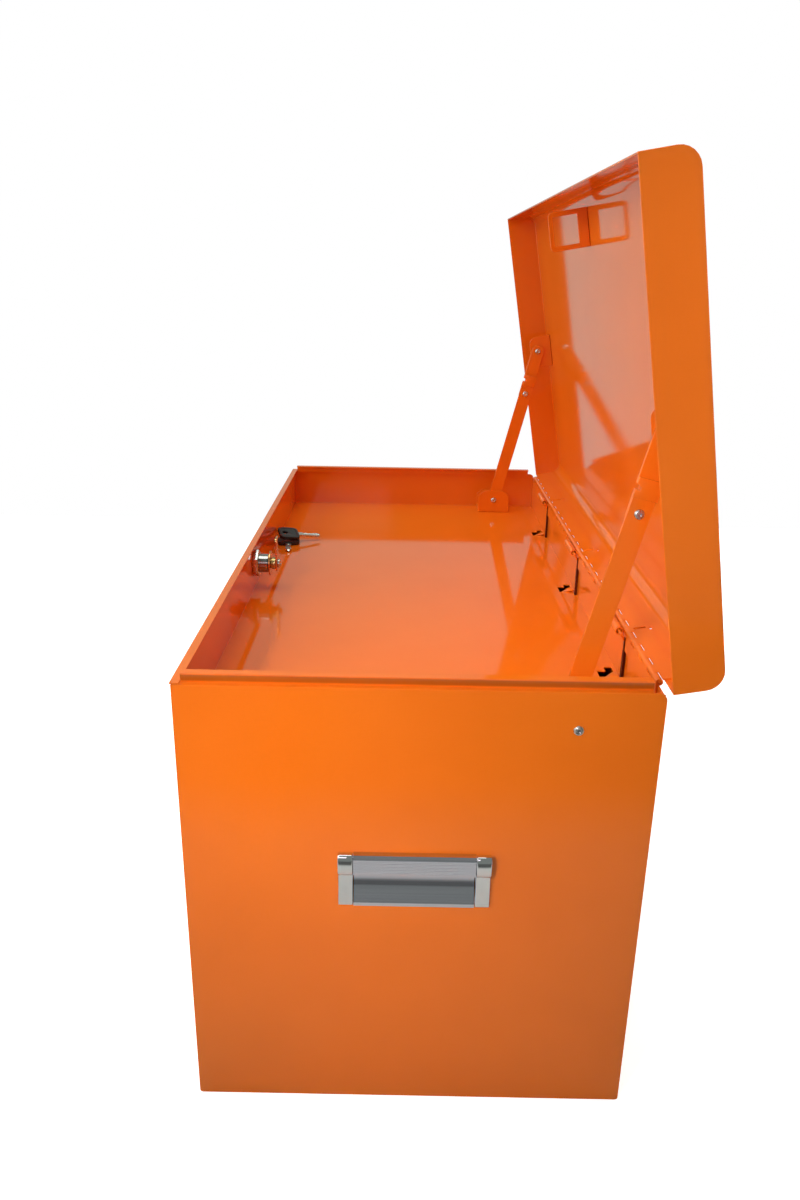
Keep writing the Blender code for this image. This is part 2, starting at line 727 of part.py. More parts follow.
def stay_angles():
    """How the folding stay stands: open lean, arm length, and both arms' turn when the lid closes."""
    pivot = Vector((stay_y() - HINGE_Y, stay_z() - HINGE_Z))
    shut = Vector((-STAY_REACH, LID_INNER - STAY_LID_DROP))
    cosine = math.cos(LID_OPEN)
    sine = math.sin(LID_OPEN)
    wide = Vector((shut.x * cosine + shut.y * sine, shut.y * cosine - shut.x * sine))
    span = wide - pivot
    upper = span.length - LOWER_ARM
    open_lean = math.atan2(span.y, span.x)
    chord = shut - pivot
    reach = chord.length
    inside = math.acos((LOWER_ARM ** 2 + reach ** 2 - upper ** 2) / (2 * LOWER_ARM * reach))
    shut_lean = math.atan2(chord.y, chord.x) + inside
    knee = pivot + Vector((math.cos(shut_lean), math.sin(shut_lean))) * LOWER_ARM
    rod = knee - shut
    upper_open = open_lean + math.pi
    upper_shut = math.atan2(rod.y, rod.x) % (2 * math.pi)
    return open_lean, upper, shut_lean - open_lean, upper_shut - upper_open - LID_OPEN


def lock_barrel():
    """The fixed barrel with its outer rose and the bore for the core."""
    face = FRONT_Y - FIT
    profile = [(face - LOCK_ROSE_RISE, CORE_RADIUS + FIT), (face - LOCK_ROSE_RISE, LOCK_ROSE_RADIUS * 0.85),
               (face, LOCK_ROSE_RADIUS), (face, LOCK_BARREL_RADIUS),
               (FRONT_Y + LOCK_BARREL_REACH, LOCK_BARREL_RADIUS),
               (FRONT_Y + LOCK_BARREL_REACH, CORE_RADIUS + FIT)]
    return turned("Y", LOCK_X, LOCK_Z, profile + profile[:1], 24)


def lock_nut():
    wall = TRAY_FRONT + SHEET + FIT
    outer = prism(circle(LOCK_X, LOCK_Z, NUT_FLATS / math.sqrt(3), 6), "Y", wall, wall + NUT_THICK)
    return cut(outer, [cylinder("Y", LOCK_X, LOCK_Z, LOCK_BARREL_RADIUS + FIT, wall - SHEET,
                                wall + NUT_THICK + SHEET, 24)])


def lock_core():
    """The turning core about the lock's axis, with its keyway and the spigot the cam sits on."""
    front = -LOCK_ROSE_RISE
    washer = LOCK_BARREL_REACH + FIT + STOP_WASHER_THICK + FIT
    seat = CAM_REACH - FIT
    end = CAM_REACH + CAM_THICK
    profile = [(front, 0.0), (front, CORE_RADIUS), (LOCK_BARREL_REACH + FIT, CORE_RADIUS),
               (LOCK_BARREL_REACH + FIT, CORE_RADIUS * 0.8), (washer + FIT, CORE_RADIUS * 0.8),
               (washer + FIT, CORE_RADIUS), (seat, CORE_RADIUS), (seat, CORE_RADIUS * 0.5),
               (end, CORE_RADIUS * 0.5), (end, 0.0)]
    core = turned("Y", 0.0, 0.0, profile, 16)
    keyway = box(-0.0011, 0.0011, front - SHEET, 0.010, -0.0036, 0.0036)
    return cut(core, [keyway])


def stop_washer():
    low = LOCK_BARREL_REACH + 2 * FIT
    high = low + STOP_WASHER_THICK - FIT
    disc = cylinder("Y", 0.0, 0.0, STOP_WASHER_RADIUS, low, high, 24)
    return cut(disc, [cylinder("Y", 0.0, 0.0, CORE_RADIUS * 0.8 + FIT, low - SHEET, high + SHEET)])


def lock_cam():
    """The cam, with its nose on the side where the striker hangs."""
    hub = CORE_RADIUS + 0.0015
    outline = rounded((
        (-CAM_BACK, -hub, 0.004), (hub, -hub, 0.004), (hub, hub, 0.001), (CAM_FRONT, hub + 0.004, 0.0),
        (CAM_FRONT, CAM_TIP - CAM_NOSE, 0.0), (CAM_NOSE_OUT, CAM_TIP - CAM_NOSE, 0.0),
        (CAM_NOSE_OUT, CAM_TIP, 0.0008), (-CAM_BACK, CAM_TIP, 0.003),
    ), 3)
    hand = math.copysign(1.0, STRIKER_OFFSET)
    plate = prism([(hand * a, b) for a, b in outline], "Y", CAM_REACH, CAM_REACH + CAM_THICK)
    return cut(plate, [cylinder("Y", 0.0, 0.0, CORE_RADIUS * 0.5 + FIT, CAM_REACH - SHEET,
                                CAM_REACH + CAM_THICK + SHEET, 12)])


def cam_screw():
    low = CAM_REACH + CAM_THICK + FIT
    profile = [(low, 0.0), (low, CAM_SCREW_RADIUS), (low + 0.0015, CAM_SCREW_RADIUS),
               (low + 0.0026, CAM_SCREW_RADIUS * 0.6), (low + 0.0026, 0.0)]
    screw = turned("Y", 0.0, 0.0, profile, 14)
    return cut(screw, [box(-0.0045, 0.0045, low + 0.0016, low + 0.004, -0.0005, 0.0005)])


def key():
    """A key lying flat: the middle of its head at the origin, the blade along +Y."""
    half = KEY_HEAD / 2
    thick = KEY_HEAD_THICK / 2
    head = prism(rounded(((-half, -half, 0.006), (half, -half, 0.006), (half, half * 0.8, 0.004),
                          (-half, half * 0.8, 0.004)), 3), "Z", -thick, thick)
    blade = prism((
        (-KEY_BLADE_WIDTH / 2, half * 0.5),
        (KEY_BLADE_WIDTH / 2, half * 0.5),
        (KEY_BLADE_WIDTH / 2, half * 0.8 + KEY_BLADE - 0.002),
        (0.0, half * 0.8 + KEY_BLADE),
        (-KEY_BLADE_WIDTH / 2, half * 0.8 + KEY_BLADE - 0.002),
    ), "Z", -KEY_BLADE_THICK / 2, KEY_BLADE_THICK / 2)
    hole = cylinder("Z", 0.0, -half * 0.45, KEY_HOLE_RADIUS, -KEY_HEAD_THICK, KEY_HEAD_THICK, 12)
    return cut(joined([head, blade]), [hole])


def lock_bar(index):
    """A drawer lock bar: strip with hooks over the drawer backs, rod up the back, push tube."""
    slot = STATIONS[index] + BAR_SLOT_SHIFT
    strip_front = BAR_Y - BAR_THICK
    strip_top = TRAY_FLOOR - SHEET - 2 * FIT
    half = BAR_WIDTH / 2
    lip_back = DRAWER_BACK - SHEET - 3 * FIT
    lip_front = lip_back - BAR_THICK
    shapes = [box(slot - half, slot + half, strip_front, BAR_Y, BAR_FOOT, strip_top)]
    for _, top in rows():
        under = top - DRAWER_SIDE_DROP + BAR_TRAVEL + 2 * FIT
        over = under + BAR_THICK
        shapes.append(box(slot - half, slot + half, lip_front, BAR_Y - BAR_THICK / 2, under, over))
        shapes.append(box(slot - half, slot + half, lip_front, lip_back, under - HOOK_LIP, over))
    tube_y = BACK_INNER - TUBE_STAND
    tube_z = BODY_HEIGHT - TUBE_RADIUS
    rod_half = BAR_SLOT / 2 - FIT
    rod_low = strip_top - BAR_WIDTH
    rod_top = HINGE_Z - BARREL_RADIUS - 2 * LEAF - FIT
    rod = ((ROD_BACK, rod_low), (ROD_BACK, rod_top), (ROD_FRONT, rod_top), (tube_y, tube_z + BAR_WIRE_RADIUS),
           (tube_y - BAR_WIRE_RADIUS, tube_z), (ROD_FRONT, rod_top - 2 * BAR_WIRE_RADIUS),
           (ROD_FRONT, rod_low))
    shapes.append(prism(rod, "X", slot - rod_half, slot + rod_half))
    near = slot - TUBE_BACK
    far = near - TUBE_LENGTH
    plug = near - TUBE_BACK
    shapes.append(cylinder("X", tube_y, tube_z, BAR_WIRE_RADIUS, plug - TUBE_RADIUS, slot, 10))
    middle = (TUBE_BORE + TUBE_RADIUS) / 2
    shapes.append(cylinder("X", tube_y, tube_z, middle, plug - 2 * TUBE_RADIUS, plug, 14))
    tube = cylinder("X", tube_y, tube_z, TUBE_RADIUS, far, near, 14)
    bore = cylinder("X", tube_y, tube_z, TUBE_BORE, far - SHEET, near + SHEET, 14)
    shapes.append(cut(tube, [bore]))
    return joined(shapes)


clear_scene()
orange = finish("orange_enamel", (0.85, 0.22, 0.02), 0.0, 0.3)
alloy = finish("handle_alloy", (0.78, 0.79, 0.80), 1.0, 0.35)
chrome = finish("cap_chrome", (0.85, 0.86, 0.88), 1.0, 0.12)
zinc = finish("zinc_steel", (0.62, 0.63, 0.65), 1.0, 0.3)
dark = finish("dark_steel", (0.10, 0.07, 0.055), 1.0, 0.5)
brass = finish("lock_brass", (0.55, 0.40, 0.16), 1.0, 0.35)
black = finish("key_black", (0.02, 0.02, 0.022), 0.0, 0.45)

cabinet = frame("cabinet_frame", None, (0.0, 0.0, 0.0))
attach(cabinet_shell(), "cabinet_shell", orange, cabinet)
attach(bottom_panel(), "bottom_panel", orange, cabinet)
attach(face_frame(), "face_frame", orange, cabinet)
attach(top_tray(), "top_tray", orange, cabinet)
for side, word in ((1, "right"), (-1, "left")):
    attach(runner_panel(side), word + "_runner_panel", orange, cabinet)
    attach(column_divider((side + 1) // 2), word + "_column_divider", orange, cabinet)
    holder = frame(word + "_handle_frame", cabinet, (side * END_X, 0.0, HANDLE_Z),
                   (0.0, 0.0, 0.0 if side > 0 else math.pi))
    attach(handle_profile(FIT), word + "_handle_profile", alloy, holder)
    attach(handle_cap(-side), word + "_handle_front_cap", chrome, holder)
    attach(handle_cap(side), word + "_handle_rear_cap", chrome, holder)
    attach(stay_bracket(side), word + "_stay_bracket", orange, cabinet)
    attach(panel_rivet(side), word + "_panel_rivet", zinc, cabinet, (0.0, stay_y(), stay_z()))

for opening in openings():
    name, left, right, low, high = opening
    slide = frame("drawer_" + name + "_slide", cabinet, ((left + right) / 2, FRONT_Y, (low + high) / 2))
    attach(drawer(opening), "drawer_" + name, orange, slide)
    grip = joined([handle_profile(-FIT), handle_cap(1), handle_cap(-1)])
    attach(grip, "pull_" + name, alloy, slide, (0.0, 0.0, 0.0), -math.pi / 2)

hinge = frame("hinge_axis", cabinet, (0.0, HINGE_Y, HINGE_Z))
attach(hinge_leaf(-1, 1, (-LEAF_WIDTH - LEAF, -BARREL_RADIUS - 2 * LEAF)), "hinge_body_leaf", orange, hinge)
pin_half = HINGE_LENGTH / 2 - KNUCKLE_GAP
attach(cylinder("X", 0.0, 0.0, PIN_RADIUS, -pin_half, pin_half, 10), "hinge_pin", zinc, hinge)
lid = frame("lid_frame", hinge, (0.0, 0.0, 0.0), (-LID_OPEN, 0.0, 0.0))
attach(lid_shell(), "lid_shell", orange, lid)
attach(hinge_leaf(1, 0, (LID_EDGE, LEAF_WIDTH - 2 * LEAF)), "hinge_lid_leaf", orange, lid)
attach(striker(), "lock_striker", orange, lid)

lean, upper_arm, lower_turn, upper_turn = stay_angles()
bracket_plane, lower_plane, upper_plane, lid_plane = stay_planes()
for side, word in ((1, "right"), (-1, "left")):
    centre = side * (END_X - STAY_INSET)
    attach(lid_bracket(side), word + "_lid_bracket", orange, lid)
    foot = frame(word + "_lower_pivot", cabinet, (centre, stay_y(), stay_z()))
    attach(turned("X", 0.0, 0.0, rivet(lower_plane, bracket_plane + PLATE, RIVET_RISE), 14),
           word + "_lower_rivet", zinc, foot)
    swing = frame(word + "_lower_swing", foot, (0.0, 0.0, 0.0), (lean - math.pi / 2, 0.0, 0.0))
    attach(stay_arm(lower_plane, LOWER_ARM, ARM_WIDTH / 2, ARM_STOP, (0.0, LOWER_ARM)),
           word + "_lower_arm", orange, swing)
    attach(turned("X", 0.0, 0.0, rivet(lower_plane, lower_plane + ARM_THICK, 0.0), 14),
           word + "_knee_rivet", zinc, swing, (0.0, 0.0, LOWER_ARM))
    head = frame(word + "_upper_pivot", lid, (centre, -STAY_REACH, LID_INNER - STAY_LID_DROP))
    attach(turned("X", 0.0, 0.0, rivet(lid_plane, upper_plane + ARM_THICK, RIVET_RISE), 14),
           word + "_upper_rivet", zinc, head)
    fold = frame(word + "_upper_swing", head, (0.0, 0.0, 0.0), (lean + math.pi / 2 + LID_OPEN, 0.0, 0.0))
    attach(stay_arm(upper_plane, upper_arm, ARM_WIDTH / 2, ARM_WIDTH / 2, (0.0,)),
           word + "_upper_arm", orange, fold)

attach(lock_barrel(), "lock_barrel", chrome, cabinet)
attach(lock_nut(), "lock_nut", zinc, cabinet)
lock = frame("lock_axis", cabinet, (LOCK_X, FRONT_Y, LOCK_Z))
attach(lock_core(), "lock_core", brass, lock)
attach(stop_washer(), "lock_washer", zinc, lock)
attach(lock_cam(), "lock_cam", zinc, lock)
attach(cam_screw(), "cam_screw", zinc, lock)

keys = frame("keys_frame", cabinet, (KEY_X, FRONT_Y + KEY_WALL_SPACE, TRAY_FLOOR))
attach(key(), "key_lower", black, keys, (0.004, 0.004, FIT + KEY_HEAD_THICK / 2), -1.45)
upper_key = attach(key(), "key_upper", black, keys, (-0.001, 0.005, KEY_HEAD_THICK * 2.6), 0.0)
upper_key.rotation_euler = (-0.13, 0.2, 0.3)

for index, word in enumerate(("left", "middle", "right")):
    attach(lock_bar(index), "lock_bar_" + word, dark, cabinet)

print("upper arm %.5f m" % upper_arm)
print("closing turns the lower arm %.3f and the upper arm %.3f degrees"
      % (math.degrees(lower_turn), math.degrees(upper_turn)))
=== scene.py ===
# %% [markdown]
# # A steel tool chest with its lid up
# The chest is folded from thin steel sheet and finished in glossy orange powder coat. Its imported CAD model
# already has every piece in its place, in metres. This lesson keeps those places and gives the pieces
# their look: rolled sheet edges, riveted stays, a cylinder lock with two keys, ribbed alloy handles and
# the paint. We start by clearing Blender's startup scene and loading the frame that everything hangs on.

# %% Load the frame
import json
import math

import bpy
from mathutils import Euler, Matrix, Vector

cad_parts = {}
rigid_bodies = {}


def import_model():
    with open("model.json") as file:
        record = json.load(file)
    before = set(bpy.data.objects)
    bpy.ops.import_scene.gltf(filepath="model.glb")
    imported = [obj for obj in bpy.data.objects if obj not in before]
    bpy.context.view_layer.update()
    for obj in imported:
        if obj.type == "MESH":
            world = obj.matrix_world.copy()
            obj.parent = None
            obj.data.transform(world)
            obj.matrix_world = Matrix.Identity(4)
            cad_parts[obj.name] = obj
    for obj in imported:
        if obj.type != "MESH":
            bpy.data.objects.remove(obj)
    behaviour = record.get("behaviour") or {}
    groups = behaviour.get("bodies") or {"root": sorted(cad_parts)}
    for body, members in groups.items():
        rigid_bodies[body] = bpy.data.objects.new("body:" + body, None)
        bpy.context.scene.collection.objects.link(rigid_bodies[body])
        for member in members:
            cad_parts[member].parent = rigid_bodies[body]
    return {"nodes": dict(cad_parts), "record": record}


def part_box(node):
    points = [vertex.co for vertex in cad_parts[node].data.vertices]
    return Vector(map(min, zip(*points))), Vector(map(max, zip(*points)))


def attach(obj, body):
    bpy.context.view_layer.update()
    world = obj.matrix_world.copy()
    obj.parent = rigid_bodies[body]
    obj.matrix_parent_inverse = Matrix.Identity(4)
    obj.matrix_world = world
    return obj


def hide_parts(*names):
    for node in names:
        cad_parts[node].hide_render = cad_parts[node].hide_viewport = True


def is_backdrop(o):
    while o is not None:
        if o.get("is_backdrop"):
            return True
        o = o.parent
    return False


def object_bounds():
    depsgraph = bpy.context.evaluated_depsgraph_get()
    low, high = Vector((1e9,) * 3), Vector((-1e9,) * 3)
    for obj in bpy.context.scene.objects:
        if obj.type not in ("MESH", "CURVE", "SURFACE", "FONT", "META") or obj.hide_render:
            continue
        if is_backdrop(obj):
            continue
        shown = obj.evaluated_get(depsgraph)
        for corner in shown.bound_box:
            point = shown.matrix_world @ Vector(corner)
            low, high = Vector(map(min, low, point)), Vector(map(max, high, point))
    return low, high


for old in list(bpy.data.objects):
    bpy.data.objects.remove(old)
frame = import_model()
nodes = frame["nodes"]
cad_low, cad_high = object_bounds()
carrier = {}
for body, members in frame["record"]["behaviour"]["bodies"].items():
    for node in members:
        carrier[node] = body

# %% [markdown]
# ## The camera
# The photograph was taken from beyond the right end, looking along the chest and down a little. A camera
# can be set by eye, but on a long box each degree shows, so its place and turn were found by lining up the
# chest's known edges with the picture. A camera that looks along -X is turned 90 degrees about Z and
# tipped up 90 degrees; the small yaw, pitch and roll then come on top.

# %% Camera
PHOTO_HEIGHT = 1200
FOCAL_PIXELS = 920.8
SENSOR = 36.0
CAMERA_PLACE = (0.8344, -0.0112, 0.5683)
CAMERA_YAW = math.radians(-0.157)
CAMERA_PITCH = math.radians(19.708)
CAMERA_ROLL = math.radians(-0.989)

bpy.ops.object.camera_add(location=CAMERA_PLACE)
camera = bpy.context.object
camera.name = "studio_camera"
camera.data.sensor_width = SENSOR
camera.data.lens = FOCAL_PIXELS * SENSOR / PHOTO_HEIGHT
turn = Matrix.Rotation(math.pi / 2 - CAMERA_YAW, 4, "Z")
turn = turn @ Matrix.Rotation(math.pi / 2 - CAMERA_PITCH, 4, "X")
turn = turn @ Matrix.Rotation(-CAMERA_ROLL, 4, "Z")
camera.matrix_world = Matrix.Translation(CAMERA_PLACE) @ turn
bpy.context.scene.camera = camera
print("camera lens %.2f mm" % camera.data.lens)

# %% [markdown]
# ## Floor and world
# The chest stands in a white studio, and glossy paint mostly shows what stands around it. An even white
# world would lay a haze over the orange. So the world is bright behind the chest, where the tray and the
# lid mirror a backdrop, and dim on the camera's side. Light Path lets the camera itself see plain white.
# Two helpers keep the node wiring short, here and in the materials.

# %% Floor and world
FLOOR_SIZE = 2.6
WORLD_BEHIND = 0.49
WORLD_FRONT = 0.20
WORLD_TURN = 0.2
WORLD_SEEN = 1.0
WORLD_TINT = (0.95, 1.05, 0.98, 1.0)
WHITE = (1.0, 1.0, 1.0, 1.0)


def add_node(tree, kind, operation=None, **values):
    """A shader node with some sockets set; an underscore stands for a space in a socket's name."""
    node = tree.nodes.new("ShaderNode" + kind)
    if operation:
        node.operation = operation
    for label, value in values.items():
        node.inputs[label.replace("_", " ")].default_value = value
    return node


def wire(source, output, target, label):
    """Links one node's output to another node's input, each by name or number."""
    source.id_data.links.new(source.outputs[output], target.inputs[label])


bpy.ops.mesh.primitive_plane_add(size=FLOOR_SIZE, location=(0.0, 0.0, cad_low.z))
floor = bpy.context.object
floor.name = "studio_floor"
floor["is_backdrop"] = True

world = bpy.context.scene.world or bpy.data.worlds.new("studio")
bpy.context.scene.world = world
world.use_nodes = True
tree = world.node_tree
tree.nodes.clear()
seen = add_node(tree, "Background", Color=WHITE, Strength=WORLD_SEEN)
lit = add_node(tree, "Background", Color=WORLD_TINT)
facing = add_node(tree, "TexCoord")
parts = add_node(tree, "SeparateXYZ")
fade = add_node(tree, "MapRange", From_Min=-1.0, From_Max=WORLD_TURN,
                To_Min=WORLD_BEHIND, To_Max=WORLD_FRONT)
path = add_node(tree, "LightPath")
either = add_node(tree, "MixShader")
sky = add_node(tree, "OutputWorld")
wire(facing, "Generated", parts, "Vector")
wire(parts, "X", fade, "Value")
wire(fade, "Result", lit, "Strength")
wire(path, "Is Camera Ray", either, "Fac")
wire(lit, "Background", either, 1)
wire(seen, "Background", either, 2)
wire(either, "Shader", sky, "Surface")
print("the floor is", FLOOR_SIZE, "m wide, and the world has", len(tree.nodes), "nodes")

# %% [markdown]
# ## Softboxes
# Point lamps would leave hard spots on gloss, so every lamp is a square softbox. Those that light the
# room's side have the world's trace of green, and those near the camera are a little pink, as the broad
# reflections in the photograph are. Two small ones with a narrow spread lift the end panel's top and the
# lid's edge.

# %% Softboxes
CHEST_MIDDLE = (0.0, 0.0, 0.35)
ABOVE_RIM = (0.31, 0.0, 0.40)
PANEL_TOP = (0.32, -0.08, 0.27)
LID_EDGE = (0.31, 0.24, 0.50)
ROOM_TINT = (0.97, 1.05, 0.97)
NEAR_TINT = (1.0, 0.86, 0.95)
WIDE = 180.0


def lamp(name, place, aim, size, power, tint, spread=WIDE):
    """A square softbox at a place, turned to its aim."""
    bpy.ops.object.light_add(type="AREA", location=place)
    made = bpy.context.object
    made.name = name
    made.data.size = size
    made.data.energy = power
    made.data.spread = math.radians(spread)
    made.data.color = tint
    made.rotation_euler = (Vector(aim) - Vector(place)).to_track_quat("-Z", "Y").to_euler()


lamp("left_high_softbox", (0.15, -1.50, 1.45), CHEST_MIDDLE, 0.9, 4.0, ROOM_TINT)
lamp("left_low_softbox", (0.30, -1.80, 0.90), CHEST_MIDDLE, 1.9, 14.0, ROOM_TINT)
lamp("overhead_softbox", (0.0, -0.20, 2.00), CHEST_MIDDLE, 1.0, 9.6, ROOM_TINT)
lamp("camera_left_softbox", (1.50, -1.50, 0.90), CHEST_MIDDLE, 1.3, 4.3, NEAR_TINT)
lamp("camera_softbox", (1.80, -0.30, 1.00), ABOVE_RIM, 0.5, 1.2, NEAR_TINT)
lamp("panel_spot", (1.30, -0.60, 0.90), PANEL_TOP, 0.12, 0.28, NEAR_TINT, 24.0)
lamp("rear_softbox", (-0.50, 1.90, 1.10), CHEST_MIDDLE, 1.5, 14.0, ROOM_TINT)
lamp("lid_spot", (1.40, -0.50, 1.00), LID_EDGE, 0.2, 0.30, NEAR_TINT, 26.0)
bpy.context.scene.view_settings.view_transform = "Standard"

# %% [markdown]
# ## Shared effects as node groups
# Real finishes are never even. Three effects come back in several materials, so each is built once as a
# node group: slow mottling that shifts a colour or a gloss by a little, the fine orange peel of sprayed
# paint, and the straight lines that an extrusion or a brush leaves in metal. All of them read Object
# coordinates, so a pattern stays on its piece when the piece moves.

# %% Mottling
def new_group(name, inputs, output):
    """An empty shader node group with named number inputs and one number output."""
    group = bpy.data.node_groups.new(name, "ShaderNodeTree")
    for label, value in inputs.items():
        socket = group.interface.new_socket(name=label, in_out="INPUT", socket_type="NodeSocketFloat")
        socket.default_value = value
    group.interface.new_socket(name=output, in_out="OUTPUT", socket_type="NodeSocketFloat")
    return group, group.nodes.new("NodeGroupInput"), group.nodes.new("NodeGroupOutput")


def mottling_group():
    """Soft blotches from 0 to 1 over the surface, at a scale in patches a metre."""
    group, given, result = new_group("Mottling", {"Scale": 12.0}, "Mask")
    spot = add_node(group, "TexCoord")
    noise = add_node(group, "TexNoise", Detail=4.0)
    spread = add_node(group, "MapRange", From_Min=0.3, From_Max=0.7)
    wire(spot, "Object", noise, "Vector")
    wire(given, "Scale", noise, "Scale")
    wire(noise, "Fac", spread, "Value")
    wire(spread, "Result", result, "Mask")
    return group


mottling = mottling_group()
print("node group:", mottling.name)

# %% Paint peel
PEEL_FINER = 5.0


def peel_group():
    """The height of sprayed paint's skin: broad swells with a little fine grain on them."""
    group, given, result = new_group("Paint peel", {"Scale": 320.0, "Grain": 0.25}, "Height")
    spot = add_node(group, "TexCoord")
    swell = add_node(group, "TexNoise", Detail=1.0)
    grain = add_node(group, "TexNoise", Detail=2.0)
    finer = add_node(group, "Math", "MULTIPLY")
    finer.inputs[1].default_value = PEEL_FINER
    share = add_node(group, "Math", "MULTIPLY_ADD")
    wire(spot, "Object", swell, "Vector")
    wire(spot, "Object", grain, "Vector")
    wire(given, "Scale", swell, "Scale")
    wire(given, "Scale", finer, 0)
    wire(finer, "Value", grain, "Scale")
    wire(grain, "Fac", share, 0)
    wire(given, "Grain", share, 1)
    wire(swell, "Fac", share, 2)
    wire(share, "Value", result, "Height")
    return group


peel = peel_group()
print("node group:", peel.name)

# %% Drawn lines
def lines_group():
    """Straight drawn lines, long along one axis: set that axis's scale low and the others high."""
    group, given, result = new_group("Drawn lines", {"X": 900.0, "Y": 3.0, "Z": 900.0}, "Mask")
    spot = add_node(group, "TexCoord")
    scale = add_node(group, "CombineXYZ")
    stretch = add_node(group, "VectorMath", "MULTIPLY")
    noise = add_node(group, "TexNoise", Scale=1.0, Detail=3.0)
    for axis in "XYZ":
        wire(given, axis, scale, axis)
    wire(spot, "Object", stretch, 0)
    wire(scale, "Vector", stretch, 1)
    wire(stretch, "Vector", noise, "Vector")
    wire(noise, "Fac", result, "Mask")
    return group


drawn_lines = lines_group()
print("node group:", drawn_lines.name)

# %% [markdown]
# ## One plan for every finish
# Each material keeps its own Principled shader. It could be wired by hand each time, but all the finishes
# follow one plan: two close colours mixed by a mask, a gloss that changes with the same mask, and for some
# a bump. So a helper wires the plan. Constants such as Metallic go straight on the shader's sockets, where
# an exporter can read them. A Mix node has sockets for every kind of data, and its colour ones go by
# number.

# %% The finish helper
MIX_A = 6
MIX_B = 7
MIX_COLOUR = 2
BLACK = (0.0, 0.0, 0.0)


def use_group(tree, group, values):
    """A node group placed in a material with its own values."""
    node = tree.nodes.new("ShaderNodeGroup")
    node.node_tree = group
    for label, value in values.items():
        node.inputs[label].default_value = value
    return node


def mix_colours(tree, first=BLACK, second=BLACK):
    """A mix of two colours, given here or wired in later."""
    mix = tree.nodes.new("ShaderNodeMix")
    mix.data_type = "RGBA"
    mix.inputs[MIX_A].default_value = (*first, 1.0)
    mix.inputs[MIX_B].default_value = (*second, 1.0)
    return mix


def new_finish(name, metallic, colours, gloss, pattern, values, bump=None):
    """A Principled material: two colours and two roughnesses mixed by a pattern, and a bump if given."""
    material = bpy.data.materials.new(name)
    material.use_nodes = True
    tree = material.node_tree
    shader = tree.nodes["Principled BSDF"]
    shader.inputs["Metallic"].default_value = metallic
    mask = use_group(tree, pattern, values)
    colour = mix_colours(tree, *colours)
    rough = add_node(tree, "MapRange", To_Min=gloss[0], To_Max=gloss[1])
    wire(mask, 0, colour, 0)
    wire(colour, MIX_COLOUR, shader, "Base Color")
    wire(mask, 0, rough, "Value")
    wire(rough, "Result", shader, "Roughness")
    if bump:
        group, group_values, strength, depth = bump
        height = use_group(tree, group, group_values)
        raised = add_node(tree, "Bump", Strength=strength, Distance=depth)
        wire(height, 0, raised, "Height")
        wire(raised, "Normal", shader, "Normal")
    return material


# %% [markdown]
# ## The orange coat
# The powder coat is a deep orange with a high gloss and a faint orange peel. Two near oranges drift into
# each other over hand-sized patches. On the upright lip at each end the coat is darkened with painted
# shade. The lip is one sheet with the end panel, so the cabinet's shell gets a copy of the coat, and a
# mask on Object coordinates paints the shade into it: beyond a face in X and between two heights, with
# soft ends.

# %% Orange coat
COATED = 0.0

paint = new_finish("orange_enamel", COATED, ((0.86, 0.178, 0.0080), (0.90, 0.194, 0.0100)), (0.055, 0.085),
                   mottling, {"Scale": 9.0}, (peel, {"Scale": 260.0, "Grain": 0.15}, 0.05, 0.0004))
print("the coat is", paint.name)

# %% The lip's painted shade
# How far the painted shade darkens the lip's coat.
LIP_PAINTED_SHADE = 0.54
LIP_FADE_IN = 0.0012
LIP_FADE_OUT = 0.0008


def paint_lip_shade(material, face, low, high):
    """Paints shade into a coat between two heights, where it lies further from the middle than a face."""
    tree = material.node_tree
    shader = tree.nodes["Principled BSDF"]
    coat = shader.inputs["Base Color"].links[0].from_node
    spot = add_node(tree, "TexCoord")
    parts = add_node(tree, "SeparateXYZ")
    reach = add_node(tree, "Math", "ABSOLUTE")
    mask = add_node(tree, "Math", "GREATER_THAN")
    mask.inputs[1].default_value = face
    wire(spot, "Object", parts, "Vector")
    wire(parts, "X", reach, 0)
    wire(reach, "Value", mask, 0)
    for start, end in ((low, low + LIP_FADE_IN), (high, high - LIP_FADE_OUT)):
        ramp = add_node(tree, "MapRange", From_Min=start, From_Max=end)
        both = add_node(tree, "Math", "MULTIPLY")
        wire(parts, "Z", ramp, "Value")
        wire(mask, "Value", both, 0)
        wire(ramp, "Result", both, 1)
        mask = both
    dim = add_node(tree, "MapRange", To_Min=1.0, To_Max=LIP_PAINTED_SHADE)
    shaded = add_node(tree, "VectorMath", "SCALE")
    wire(mask, "Value", dim, "Value")
    wire(coat, MIX_COLOUR, shaded, 0)
    wire(dim, "Result", shaded, "Scale")
    wire(shaded, "Vector", shader, "Base Color")


# %% [markdown]
# ## Metals and plastic
# The handles are drawn aluminium, so their grain runs along the extrusion: along Y on the ends and along X
# on the drawers. Plated and bare metals have no grain, only patches that are a little darker or duller.
# The keys have matt black heads, with a fine bump instead of a shine.

# %% Metals and plastic
METAL = 1.0
LINES_FINE = 900.0
LINES_LONG = 3.0
# The alloys' faint blue tint is painted reflection of the surroundings.
ALLOYS_WITH_PAINTED_BLUE = ((0.61, 0.60, 0.67), (0.82, 0.80, 0.87))
ALLOY_GLOSS = (0.10, 0.20)
ALLOY_BUMP = (0.10, 0.0001)

